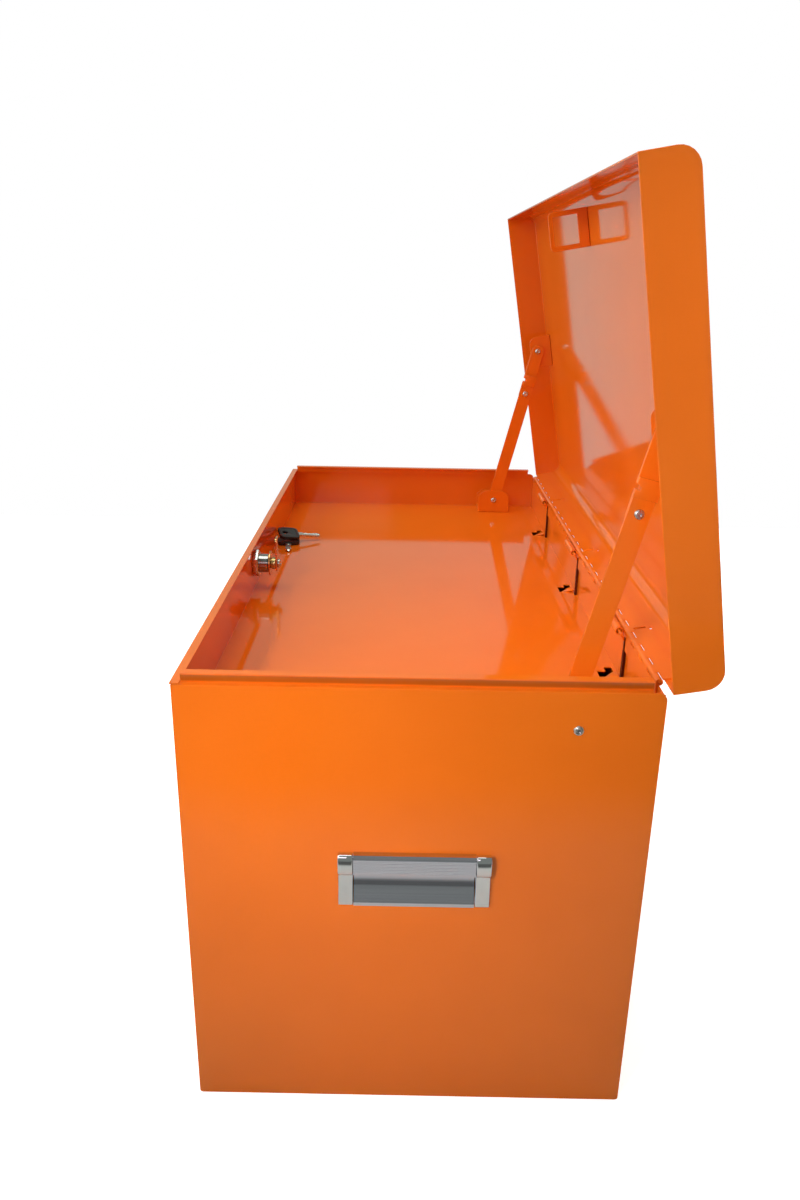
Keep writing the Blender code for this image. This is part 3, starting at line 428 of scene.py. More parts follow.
along_y = {"X": LINES_FINE, "Y": LINES_LONG, "Z": LINES_FINE}
along_x = {"X": LINES_LONG, "Y": LINES_FINE, "Z": LINES_FINE}
end_alloy = new_finish("handle_alloy_ends", METAL, ALLOYS_WITH_PAINTED_BLUE, ALLOY_GLOSS, drawn_lines, along_y,
                       (drawn_lines, along_y, *ALLOY_BUMP))
front_alloy = new_finish("handle_alloy_front", METAL, ALLOYS_WITH_PAINTED_BLUE, ALLOY_GLOSS, drawn_lines, along_x,
                         (drawn_lines, along_x, *ALLOY_BUMP))
chrome = new_finish("cap_chrome", METAL, ((0.78, 0.79, 0.80), (0.88, 0.88, 0.89)), (0.04, 0.11),
                    mottling, {"Scale": 60.0})
nickel = new_finish("lock_nickel", METAL, ((0.34, 0.32, 0.30), (0.46, 0.44, 0.42)), (0.10, 0.18),
                    mottling, {"Scale": 250.0})
zinc = new_finish("zinc_steel", METAL, ((0.56, 0.56, 0.57), (0.74, 0.73, 0.71)), (0.18, 0.34),
                  mottling, {"Scale": 400.0})
# The cam's and washer's zinc has an orange tint that is painted reflection of the orange tray.
zinc_with_painted_reflection = new_finish("zinc_with_painted_reflection", METAL, ((0.66, 0.31, 0.11), (0.84, 0.44, 0.18)), (0.18, 0.32),
                         mottling, {"Scale": 300.0})
# The dark steel's red tint is painted reflection of the orange paint around the rods.
dark_steel = new_finish("dark_steel", METAL, ((0.075, 0.016, 0.006), (0.150, 0.040, 0.014)), (0.40, 0.60),
                        mottling, {"Scale": 120.0})
brass = new_finish("lock_brass", METAL, ((0.40, 0.27, 0.10), (0.62, 0.46, 0.20)), (0.25, 0.42),
                   mottling, {"Scale": 300.0})
key_plastic = new_finish("key_black", COATED, ((0.010, 0.010, 0.011), (0.022, 0.021, 0.021)), (0.35, 0.50),
                         mottling, {"Scale": 500.0}, (peel, {"Scale": 2400.0, "Grain": 0.5}, 0.2, 0.0001))
key_nickel = new_finish("key_nickel", METAL, ((0.55, 0.53, 0.48), (0.72, 0.70, 0.66)), (0.20, 0.36),
                        drawn_lines, along_y)
print("finishes:", ", ".join(material.name for material in bpy.data.materials if material.node_tree))

# %% [markdown]
# ## The floor's finish
# The camera should see a plain pale floor, while the paint should not be greyed by it. So Light Path
# splits the floor's colour: for the camera it is near white with a little glow, and for the light that it
# throws back it is a pale sheet under the chest that ends before the camera, which keeps the end panel's
# upper half clear.

# %% Floor finish
FLOOR_GLOW = 0.7
FLOOR_NEAR = (0.66, 0.66, 0.66)
FLOOR_FAR = (0.10, 0.10, 0.10)
SHEET_END = (0.64, 0.76)

pale = new_finish("pale_floor", COATED, ((0.90, 0.90, 0.90), (0.93, 0.93, 0.93)), (0.75, 0.85),
                  mottling, {"Scale": 1.5})
tree = pale.node_tree
shader = tree.nodes["Principled BSDF"]
shader.inputs["Emission Color"].default_value = WHITE
pale_mix = shader.inputs["Base Color"].links[0].from_node
path = add_node(tree, "LightPath")
glow = add_node(tree, "Math", "MULTIPLY")
glow.inputs[1].default_value = FLOOR_GLOW
spot = add_node(tree, "TexCoord")
parts = add_node(tree, "SeparateXYZ")
edge = add_node(tree, "MapRange", From_Min=SHEET_END[0], From_Max=SHEET_END[1])
thrown = mix_colours(tree, FLOOR_NEAR, FLOOR_FAR)
returned = mix_colours(tree)
wire(path, "Is Camera Ray", glow, 0)
wire(glow, "Value", shader, "Emission Strength")
wire(spot, "Object", parts, "Vector")
wire(parts, "X", edge, "Value")
wire(edge, "Result", thrown, 0)
wire(path, "Is Camera Ray", returned, 0)
wire(thrown, MIX_COLOUR, returned, MIX_A)
wire(pale_mix, MIX_COLOUR, returned, MIX_B)
wire(returned, MIX_COLOUR, shader, "Base Color")
floor.data.materials.append(pale)
print("the floor has", floor.data.materials[0].name)

# %% [markdown]
# ## Three helpers for pieces
# Every piece ends the same way: it gets its finish, rides on a body of the frame, and hides the CAD nodes
# it stands in for. `pick` makes one object the only selected and active one, because an operator acts on
# everything that is selected and the frame's nodes arrive selected. `place` moves the mesh and not the
# object, so that a pattern on Object coordinates stays where it is.

# %% Helpers
def pick(obj):
    """Makes an object the only selected one, and the active one."""
    bpy.ops.object.select_all(action="DESELECT")
    obj.select_set(True)
    bpy.context.view_layer.objects.active = obj


def settle(piece, name, material, slot, body, *replaced):
    """Names and paints a piece, and hangs it on its body in place of its CAD nodes."""
    piece.name = name
    piece.data.name = name
    piece.data.materials.clear()
    piece.data.materials.append(material)
    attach(piece, body)
    if replaced:
        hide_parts(*replaced)


def place(piece, matrix):
    """Moves a piece's mesh to its place, so that the object itself stays at the origin."""
    pick(piece)
    piece.matrix_world = matrix
    bpy.ops.object.transform_apply(location=True, rotation=True, scale=True)


# %% [markdown]
# ## Rolled sheet edges
# A cut or folded sheet never has a knife edge: paint gathers on it and it catches a thin line of light.
# The CAD sheets have exact corners. They could be modelled again with soft ones, but a copy keeps every
# hole and fold in its place. So each copy has its loose triangles merged into whole faces and its sharp
# edges rolled by less than half the sheet's thickness. A face with a hole is split at its concave corners
# first, or it could later be filled across the hole. Concave edges roll too, which gives the tray its
# small bends.

# %% Roll edges
SHARP = math.radians(32.0)
SMOOTH = math.radians(38.0)


def roll_edges(piece, width, segments, angle=SHARP):
    """Rolls a piece's edges that are sharper than an angle, and smooths its shading."""
    pick(piece)
    roll = piece.modifiers.new("roll", "BEVEL")
    roll.width = width
    roll.segments = segments
    roll.limit_method = "ANGLE"
    roll.angle_limit = angle
    bpy.ops.object.modifier_apply(modifier=roll.name)
    bpy.ops.object.shade_smooth_by_angle(angle=SMOOTH)


# %% The rolled copy
MERGED = 0.000005
FLAT = math.radians(0.4)
FULL_WEIGHT = 100


def even_normals(piece):
    """Lets the large faces set the normals, so that flat sheet mirrors without bends."""
    weigh = piece.modifiers.new("even", "WEIGHTED_NORMAL")
    weigh.mode = "FACE_AREA"
    weigh.weight = FULL_WEIGHT
    weigh.keep_sharp = True
    bpy.ops.object.modifier_apply(modifier=weigh.name)


def rolled_copy(node, width, segments, shape=None):
    """A copy of a CAD node with whole faces, a changed shape if one is given, and rolled edges."""
    copy = bpy.data.objects.new(node + "_rolled", nodes[node].data.copy())
    bpy.context.scene.collection.objects.link(copy)
    pick(copy)
    bpy.ops.mesh.customdata_custom_splitnormals_clear()
    bpy.ops.object.mode_set(mode="EDIT")
    bpy.ops.mesh.select_all(action="SELECT")
    bpy.ops.mesh.remove_doubles(threshold=MERGED)
    bpy.ops.mesh.dissolve_limited(angle_limit=FLAT)
    bpy.ops.mesh.select_all(action="SELECT")
    bpy.ops.mesh.vert_connect_concave()
    bpy.ops.object.mode_set(mode="OBJECT")
    if shape:
        shape(copy)
    if width > 0:
        roll_edges(copy, width, segments)
    bpy.ops.object.shade_smooth_by_angle(angle=SMOOTH)
    even_normals(copy)
    return copy


def dress(node, finish, slot, width, segments, shape=None):
    """Sets a rolled copy of a CAD node in the node's place."""
    settle(rolled_copy(node, width, segments, shape), node + "_rolled", finish, slot, carrier[node], node)


# %% [markdown]
# ## Sheets that change a little
# Some sheets differ from the CAD by a millimetre or so. The tray's rear edge is taken into the back wall,
# so that its rolled edge leaves no groove, and its three slots are widened for the rods. The upright lip
# on each end leans out at its top. The hinge's knuckles swell about the pin and the leaves come closer to
# them, so that less light shows through. Moving the points that lie at a known place is enough for all
# this.

# %% Tray and lip
SHEET = 0.0012
TOUCH = 0.0001
TRAY_TUCK = 0.0007
BAR_HALF = 0.007
ROD_SLOT = 0.003
SLOT_WIDER = 0.0011
LIP_HEIGHT = 0.0065
LIP_FLARE = 0.0014

rods = {word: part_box("lock_bar_" + word)[1].x - BAR_HALF for word in ("left", "middle", "right")}


def fit_tray(tray):
    """Takes the tray's rear edge a little into the back wall and widens its rod slots."""
    rear = max(point.co.y for point in tray.data.vertices)
    for point in tray.data.vertices:
        if point.co.y > rear - TOUCH:
            point.co.y += TRAY_TUCK
        for rod_x in rods.values():
            aside = point.co.x - rod_x
            if abs(abs(aside) - ROD_SLOT / 2) < TOUCH:
                point.co.x += math.copysign(SLOT_WIDER, aside)


def flare_lips(shell):
    """Leans the top of the upright lip on each end outwards, which shades its face."""
    top = max(point.co.z for point in shell.data.vertices)
    lip = [point for point in shell.data.vertices if point.co.z > top - LIP_HEIGHT - TOUCH]
    face = max(abs(point.co.x) for point in lip if point.co.z > top - TOUCH)
    for point in lip:
        if abs(abs(point.co.x) - face) < TOUCH and point.co.z > top - SHEET - TOUCH:
            point.co.x += math.copysign(LIP_FLARE, point.co.x)


print("rods at x =", [round(rod_x, 4) for rod_x in rods.values()])

# %% Hinge leaves
KNUCKLE_RADIUS = 0.0022
KNUCKLE_BAND = (KNUCKLE_RADIUS * 0.9, KNUCKLE_RADIUS * 1.02)
KNUCKLE_SWELL = 0.0002
PLATE_EDGE = (0.0029, 0.0037)
PLATE_CLOSER = 0.0005
LEAF_REACH = 0.0135

pin_low, pin_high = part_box("hinge_pin")
hinge_axis = (pin_low + pin_high) / 2


def from_pin(point):
    """A point's offset from the hinge pin's axis, square to it."""
    return Vector((0.0, point.co.y - hinge_axis.y, point.co.z - hinge_axis.z))


def swell_knuckles(leaf):
    """Rounds the knuckles out about the pin and takes the plate's near edge closer to them."""
    points = leaf.data.vertices
    knuckle_low, knuckle_high = KNUCKLE_BAND
    for point in points:
        across = from_pin(point)
        if knuckle_low < across.length < knuckle_high:
            point.co += across.normalized() * KNUCKLE_SWELL
    reach = [from_pin(point) for point in points]
    edge_low, edge_high = PLATE_EDGE
    near_edge = [index for index, across in enumerate(reach) if edge_low < across.length < edge_high]
    far_edge = [across for across in reach if across.length > LEAF_REACH]
    start = sum((reach[index] for index in near_edge), Vector()) / len(near_edge)
    middle = sum(far_edge, Vector()) / len(far_edge)
    inward = (start - middle).normalized()
    for index in near_edge:
        points[index].co += inward * PLATE_CLOSER


print("the hinge turns about y = %.4f, z = %.4f" % (hinge_axis.y, hinge_axis.z))

# %% Put the sheets in place
SHEET_ROLL = 0.00045
SHEET_STEPS = 3
SMALL_ROLL = 0.0002
SMALL_STEPS = 2
LIP_INSET = 0.0045
LIP_BAND = 0.0006

sheets = ["lid_shell", "face_frame", "bottom_panel"]
for side in ("right", "left"):
    for plate in ("stay_bracket", "lid_bracket", "lower_arm", "upper_arm"):
        sheets.append(side + "_" + plate)
drawers = [node for node in nodes if node.startswith("drawer_")]
inner_sheets = [node for node in nodes if node.endswith(("runner_panel", "column_divider"))]
for node in sheets + drawers + inner_sheets + ["lock_striker"]:
    dress(node, paint, "orange_enamel", SHEET_ROLL, SHEET_STEPS)
shell_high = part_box("cabinet_shell")[1]
shell_paint_with_lip_shade = paint.copy()
shell_paint_with_lip_shade.name = "orange_enamel_painted_lip_shade"
# Painted shade: the lip's face is darkened in the coat's colour.
paint_lip_shade(shell_paint_with_lip_shade, shell_high.x - LIP_INSET - SHEET / 2,
          shell_high.z - LIP_HEIGHT + LIP_BAND, shell_high.z - LIP_BAND)
dress("cabinet_shell", shell_paint_with_lip_shade, "orange_enamel", SHEET_ROLL, SHEET_STEPS, flare_lips)
dress("top_tray", paint, "orange_enamel", SHEET_ROLL, SHEET_STEPS, fit_tray)
for node in ("hinge_body_leaf", "hinge_lid_leaf"):
    dress(node, paint, "orange_enamel", 0.0, 0, swell_knuckles)
# The cam and washer take the zinc with painted reflection.
for node, finish in (("lock_cam", zinc_with_painted_reflection), ("lock_washer", zinc_with_painted_reflection), ("cam_screw", zinc)):
    dress(node, finish, "zinc_steel", SMALL_ROLL, SMALL_STEPS)

# %% [markdown]
# ## The lathe
# Rivets and the lock barrel are round, so they are turned on a lathe. In Blender that is one point,
# extruded along half of the outline and then spun about the axis; a stack of cylinders would need each
# step joined. The spin leaves doubled points on the axis and at the seam, so they are merged and the
# normals are made to point out. The point that walks along an outline will serve the handles too, so it is
# a helper of its own.

# %% The lathe
SEED = 0.001
SEAM = 0.000002


def walk_outline(points, y):
    """Extrudes one point along an (x, z) outline at a y, and stays in edit mode with all of it selected."""
    bpy.ops.object.select_all(action="DESELECT")
    bpy.ops.mesh.primitive_plane_add(size=SEED, enter_editmode=True, location=(0.0, 0.0, 0.0))
    bpy.ops.mesh.select_mode(type="VERT")
    bpy.ops.mesh.select_all(action="SELECT")
    bpy.ops.mesh.merge(type="CENTER")
    bpy.ops.transform.translate(value=(points[0][0], y, points[0][1]))
    for (x, z), (next_x, next_z) in zip(points, points[1:]):
        step = (next_x - x, 0.0, next_z - z)
        bpy.ops.mesh.extrude_region_move(TRANSFORM_OT_translate={"value": step})
    bpy.ops.mesh.select_all(action="SELECT")


def lathe(profile, steps):
    """A piece turned about X from (x, radius) points, ends on the axis or joined up."""
    walk_outline(profile, 0.0)
    bpy.ops.mesh.spin(steps=steps, angle=2 * math.pi, center=(0.0, 0.0, 0.0), axis=(1.0, 0.0, 0.0))
    bpy.ops.mesh.select_all(action="SELECT")
    bpy.ops.mesh.remove_doubles(threshold=SEAM)
    bpy.ops.mesh.normals_make_consistent(inside=False)
    bpy.ops.object.mode_set(mode="OBJECT")
    bpy.ops.object.shade_smooth_by_angle(angle=SMOOTH)
    return bpy.context.object


# %% [markdown]
# ## Rivets
# The stays turn on dome-headed rivets, and a blind rivet in each end panel holds the stay's bracket. A
# blind rivet keeps a small hole where its mandrel broke off, and the domes have the shallow dimple of the
# setting tool; a plain half sphere would show neither. The frame's box of each rivet gives its axis,
# length and radius. The hinge pin was painted together with the hinge, so it only gets rounded ends and
# the same orange.

# %% Rivets
RIVET_RISE = 0.0015
RIVET_SHANK = 0.0020
RIVET_STEPS = 28
HEAD_SHARE = 0.79
DOME_STEPS = 6
PANEL_HOLE = 0.0014
DIMPLE = 0.0012
HOLE_SHARE = 0.9
MOUTH_SHARE = 1.05
CROWN_SHARE = 1.3
EDGE_BREAK = 0.0002
TAIL_SHARE = 0.8
TAIL_ROUND = (0.4, 0.75)
END_SHARE = 0.85
PIN_ROLL = 0.0003


def rivet_profile(length, radius, hole, tail):
    """Half outline of a rivet, from its head's crown at x = 0 down to its tail at -length."""
    deep = hole * HOLE_SHARE
    crown = hole * CROWN_SHARE
    profile = [(-deep, 0.0), (-deep, deep), (-EDGE_BREAK, hole * MOUTH_SHARE), (0.0, crown)]
    for k in range(1, DOME_STEPS + 1):
        angle = math.pi / 2 * k / DOME_STEPS
        across = crown + (radius - crown) * math.sin(angle)
        profile.append((-RIVET_RISE * (1 - math.cos(angle)), across))
    profile.append((-RIVET_RISE, RIVET_SHANK))
    if tail:
        back = RIVET_RISE - length
        profile += [(back, RIVET_SHANK), (back, radius * TAIL_SHARE),
                    (RIVET_RISE * TAIL_ROUND[0] - length, radius * TAIL_ROUND[1])]
    else:
        profile.append((EDGE_BREAK - length, RIVET_SHANK))
    return profile + [(-length, profile[-1][1] * END_SHARE), (-length, 0.0)]


for side, out in (("right", 1), ("left", -1)):
    for kind in ("lower", "knee", "upper", "panel"):
        node = side + "_" + kind + "_rivet"
        low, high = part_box(node)
        middle = (low + high) / 2
        radius = (high.z - low.z) / 2 * HEAD_SHARE
        hole = PANEL_HOLE if kind == "panel" else DIMPLE
        facing = out if kind == "panel" else 1
        rivet = lathe(rivet_profile(high.x - low.x, radius, hole, kind != "knee"), RIVET_STEPS)
        spot = Matrix.Translation((high.x if facing > 0 else low.x, middle.y, middle.z))
        place(rivet, spot @ Matrix.Rotation(0.0 if facing > 0 else math.pi, 4, "Z"))
        settle(rivet, node + "_turned", zinc, "zinc_steel", carrier[node], node)
dress("hinge_pin", paint, "orange_enamel", PIN_ROLL, SHEET_STEPS)
print("turned 8 rivets and rounded the hinge pin's ends")

# %% [markdown]
# ## The lock
# A cylinder lock sits in the front sheet: a nickel-plated barrel with a fine thread, held by a hex nut
# from inside, and a brass core that turns the cam. A true thread is a helix, but at this size a run of
# ring-shaped crests in the lathe's outline looks the same and costs far fewer faces. The nut starts as a
# six-sided cylinder, its edges are bevelled, and a Boolean opens it for the barrel.

# %% Lock barrel
THREAD_PITCH = 0.0010
THREAD_DEPTH = 0.00006
THREAD_CREST = ((0.0, 0.0), (0.35, 1.0), (0.55, 1.0), (0.9, 0.0))
THREAD_START = 0.0012
THREAD_END = 0.0016
BARREL_RADIUS = 0.0086
BARREL_STEPS = 40
BARREL_BREAK = (0.0006, 0.0009)
ROSE_DEPTH = 0.0022
ROSE_CURVE = ((0.0, 0.80), (0.25, 0.90), (0.7, 0.97), (1.0, 1.0))
CORE_GAP = 0.0003

low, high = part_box("lock_barrel")
core_low, core_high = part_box("lock_core")
lock_x = (low.x + high.x) / 2
lock_z = (low.z + high.z) / 2
rose = (high.z - low.z) / 2
along = high.y - low.y
bore = (core_high.z - core_low.z) / 2 + CORE_GAP
root = BARREL_RADIUS - THREAD_DEPTH
profile = [(0.0, bore)]
profile += [(ROSE_DEPTH * deep, rose * share) for deep, share in ROSE_CURVE]
profile.append((ROSE_DEPTH, root))
x = ROSE_DEPTH + THREAD_START
while x < along - THREAD_END:
    profile += [(x + THREAD_PITCH * share, root + THREAD_DEPTH * rise) for share, rise in THREAD_CREST]
    x += THREAD_PITCH
profile += [(along - BARREL_BREAK[0], root), (along, BARREL_RADIUS - BARREL_BREAK[1])]
profile += [(along, bore), (0.0, bore)]
barrel = lathe(profile, BARREL_STEPS)
place(barrel, Matrix.Translation((lock_x, low.y, lock_z)) @ Matrix.Rotation(math.pi / 2, 4, "Z"))
settle(barrel, "lock_barrel_turned", nickel, "cap_chrome", carrier["lock_barrel"], "lock_barrel")
print("the barrel's outline has", len(profile), "points")

# %% Lock nut and core
NUT_SIDES = 6
NUT_BEVEL = 0.0006
NUT_BEVEL_STEPS = 3
NUT_GAP = 0.0002
DRILL_LENGTH = 0.02


def cut_away(piece, cutter):
    """Takes the cutter's shape out of a piece."""
    pick(piece)
    cut = piece.modifiers.new("cut", "BOOLEAN")
    cut.operation = "DIFFERENCE"
    cut.object = cutter
    bpy.ops.object.modifier_apply(modifier=cut.name)


nut_low, nut_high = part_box("lock_nut")
nut_size = nut_high - nut_low
tipped = Matrix.Rotation(math.pi / 2, 4, "X")
bpy.ops.object.select_all(action="DESELECT")
bpy.ops.mesh.primitive_cylinder_add(vertices=NUT_SIDES, radius=max(nut_size.x, nut_size.z) / 2,
                                    depth=nut_size.y, enter_editmode=True)
nut = bpy.context.object
bpy.ops.mesh.select_all(action="SELECT")
bpy.ops.mesh.bevel(offset=NUT_BEVEL, segments=NUT_BEVEL_STEPS, affect="EDGES")
bpy.ops.object.mode_set(mode="OBJECT")
place(nut, Matrix.Translation((lock_x, (nut_low.y + nut_high.y) / 2, lock_z)) @ tipped)
bpy.ops.mesh.primitive_cylinder_add(vertices=BARREL_STEPS, radius=BARREL_RADIUS + NUT_GAP,
                                    depth=DRILL_LENGTH)
drill = bpy.context.object
place(drill, Matrix.Translation((lock_x, nut_low.y, lock_z)) @ tipped)
cut_away(nut, drill)
bpy.data.objects.remove(drill)
bpy.ops.object.shade_smooth_by_angle(angle=SMOOTH)
settle(nut, "lock_nut_cut", zinc, "zinc_steel", carrier["lock_nut"], "lock_nut")
dress("lock_core", brass, "lock_brass", SMALL_ROLL, SMALL_STEPS)
print("the nut is %.1f mm across" % (nut_size.x * 1000))

# %% [markdown]
# ## The keys
# Two flat keys lie on the tray beside the lock. Each has a moulded black head with a recessed grip and a
# hole, and a nickel blade with cuts along one edge. Both start as a cube. On the head, the upright edges
# are bevelled round, and the faces are inset and pushed in. The cuts could be Booleans, but rows of points
# are simpler: the blade is bisected along its length, and single rows are moved inwards.

# %% Two helpers for keys
def select_in_edit(piece, kind, wanted):
    """Goes into edit mode with only the wanted edges or faces selected."""
    pick(piece)
    bpy.ops.object.mode_set(mode="EDIT")
    bpy.ops.mesh.select_mode(type=kind)
    bpy.ops.mesh.select_all(action="DESELECT")
    bpy.ops.object.mode_set(mode="OBJECT")
    for item in piece.data.edges if kind == "EDGE" else piece.data.polygons:
        item.select = wanted(item)
    bpy.ops.object.mode_set(mode="EDIT")


def block(width, y_low, y_high, thick):
    """A cube brought to a width, a stretch of Y and a thickness."""
    bpy.ops.object.select_all(action="DESELECT")
    bpy.ops.mesh.primitive_cube_add(size=1.0)
    made = bpy.context.object
    made.scale = (width, y_high - y_low, thick)
    made.location = (0.0, (y_low + y_high) / 2, 0.0)
    bpy.ops.object.transform_apply(location=True, rotation=True, scale=True)
    return made


# %% Key head
KEY_HEAD = 0.024
KEY_NECK = KEY_HEAD * 0.40
KEY_THICK = 0.0036
KEY_ROUND = 0.0055
KEY_ROUND_STEPS = 6
KEY_RIM = 0.0022
KEY_STEP = 0.0005
KEY_RECESS = 0.0004
KEY_HOLE = 0.003
KEY_HOLE_Y = -KEY_HEAD * 0.225
KEY_HOLE_STEPS = 24
KEY_ROLL = 0.0003
KEY_SHARP = math.radians(40.0)
FACING = 0.9


def key_head():
    """The moulded head: the blade leaves it along +Y."""
    head = block(KEY_HEAD, -KEY_HEAD / 2, KEY_NECK, KEY_THICK)

    def upright(edge):
        first, second = [head.data.vertices[index].co for index in edge.vertices]
        return abs(first.z - second.z) > KEY_THICK / 2

    select_in_edit(head, "EDGE", upright)
    bpy.ops.mesh.bevel(offset=KEY_ROUND, segments=KEY_ROUND_STEPS, affect="EDGES")
    bpy.ops.object.mode_set(mode="OBJECT")
    select_in_edit(head, "FACE", lambda face: abs(face.normal.z) > FACING)
    bpy.ops.mesh.inset(thickness=KEY_RIM, depth=0.0, use_individual=True)
    bpy.ops.mesh.inset(thickness=KEY_STEP, depth=-KEY_RECESS, use_individual=True)
    bpy.ops.object.mode_set(mode="OBJECT")
    bpy.ops.mesh.primitive_cylinder_add(vertices=KEY_HOLE_STEPS, radius=KEY_HOLE, depth=KEY_THICK * 3,
                                        location=(0.0, KEY_HOLE_Y, 0.0))
    punch = bpy.context.object
    cut_away(head, punch)
    bpy.data.objects.remove(punch)
    roll_edges(head, KEY_ROLL, SMALL_STEPS, KEY_SHARP)
    return head


head_model = key_head()
print("the key's head has", len(head_model.data.polygons), "faces")

# %% Key blade
BLADE_ROOT = KEY_HEAD * 0.30
BLADE_LENGTH = 0.024
BLADE_TIP = KEY_NECK + BLADE_LENGTH
BLADE_WIDTH = 0.0060
BLADE_THICK = 0.0018
BLADE_POINT = 0.35
BLADE_ROLL = 0.00015
KEY_CUTS = (0.0, 0.0012, 0.0004, 0.0018, 0.0009, 0.0015, 0.0003, 0.0)
FIRST_CUT = 3
BLADE_CELLS = len(KEY_CUTS) + FIRST_CUT + 1
GROOVE_SIDES = (-0.0012, 0.0006)
GROOVE_WALL = 0.00025
GROOVE_DEPTH = 0.0004


def key_blade():
    """The nickel blade along +Y, with its cuts on one edge and a milled groove."""
    blade = block(BLADE_WIDTH, BLADE_ROOT, BLADE_TIP, BLADE_THICK)
    step = (BLADE_TIP - BLADE_ROOT) / BLADE_CELLS
    planes = [((0.0, BLADE_ROOT + step * k, 0.0), (0.0, 1.0, 0.0)) for k in range(1, BLADE_CELLS)]
    planes += [((side, 0.0, 0.0), (1.0, 0.0, 0.0)) for side in GROOVE_SIDES]
    bpy.ops.object.mode_set(mode="EDIT")
    for through, square in planes:
        bpy.ops.mesh.select_all(action="SELECT")
        bpy.ops.mesh.bisect(plane_co=through, plane_no=square)
    bpy.ops.object.mode_set(mode="OBJECT")
    for point in blade.data.vertices:
        row = round((point.co.y - BLADE_ROOT) / step)
        if point.co.x < TOUCH - BLADE_WIDTH / 2 and FIRST_CUT <= row < FIRST_CUT + len(KEY_CUTS):
            point.co.x += KEY_CUTS[row - FIRST_CUT]
        if row == BLADE_CELLS:
            point.co.x *= BLADE_POINT
    groove_low, groove_high = GROOVE_SIDES
    groove_start = BLADE_ROOT + FIRST_CUT * step

    def in_groove(face):
        beside = groove_low < face.center.x < groove_high
        return beside and face.center.y > groove_start and abs(face.normal.z) > FACING

    select_in_edit(blade, "FACE", in_groove)
    bpy.ops.mesh.inset(thickness=GROOVE_WALL, depth=-GROOVE_DEPTH)
    bpy.ops.object.mode_set(mode="OBJECT")
    roll_edges(blade, BLADE_ROLL, SMALL_STEPS)
    return blade


blade_model = key_blade()
print("the key's blade has", len(blade_model.data.polygons), "faces")

# %% Lay the keys down
TRAY_DEPTH = 0.041
KEYS_X = -0.135
KEYS_IN = 0.0128
KEY_PLACES = {"key_lower": ((0.004, 0.004, 0.0021), (0.0, 0.0, -1.45)),
              "key_upper": ((-0.001, 0.005, 0.00936), (-0.13, 0.2, 0.3))}


def placed_twin(model, matrix):
    """A copy of a model with its own mesh, set in a place."""
    made = model.copy()
    made.data = model.data.copy()
    bpy.context.scene.collection.objects.link(made)
    place(made, matrix)
    return made


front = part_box("face_frame")[0].y
tray_floor = shell_high.z - LIP_HEIGHT - TRAY_DEPTH
keys_spot = Vector((KEYS_X, front + KEYS_IN, tray_floor))
for node, (offset, lean) in KEY_PLACES.items():
    spot = Matrix.Translation(keys_spot + Vector(offset)) @ Euler(lean, "XYZ").to_matrix().to_4x4()
    settle(placed_twin(head_model, spot), node + "_head", key_plastic, "key_black", "keys", node)
    settle(placed_twin(blade_model, spot), node + "_blade", key_nickel, "zinc_steel", "keys")
for model in (head_model, blade_model):
    bpy.data.objects.remove(model)
print("made", len(KEY_PLACES), "keys, each a head and a blade")

# %% [markdown]
# ## The handles
# The end handles and the drawer pulls are the same part: an aluminium extrusion with an open finger pocket
# under a ribbed grip, closed at each end by a chromed cap. Cutting the pocket and ribs out of a block
# would take many Booleans. But an extrusion is one outline pushed along a line, so the outline is walked
# with one extruded point, filled, and extruded once more, with the ribs and the pocket's scoop as part of
# it. The handle is modelled looking out along +X and then set on the ends and on the drawers.

# %% Handle sizes
low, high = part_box("right_handle_profile")
cap_low, cap_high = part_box("right_handle_rear_cap")
END_X = shell_high.x
HANDLE_Z = (low.z + high.z) / 2
HANDLE_HALF = (high.z - low.z) / 2
HANDLE_RISE = high.x - END_X
HANDLE_FOOT = HANDLE_RISE * 0.4
HANDLE_POCKET = END_X - low.x
GRIP_HALF = (high.y - low.y) / 2
CAP_END = max(cap_high.y, -cap_low.y)
CAP_RISE = cap_high.x - END_X
GRIP_DROP = 0.015
GRIP_RIBS = 9
GRIP_SMOOTH = math.radians(25.0)
RIB_DEPTH = 0.00022
RIB_CURVE = ((0.0, 0.0), (0.62, 0.0), (0.72, 1.0), (0.90, 1.0))
BORDER = 0.0025
WALL = 0.0015
SEAT = 0.0003
SCOOP_STEPS = 8
SCOOP_DEPTH = 0.0042
print("a handle is %.0f by %.0f mm" % (CAP_END * 2000, HANDLE_HALF * 2000))

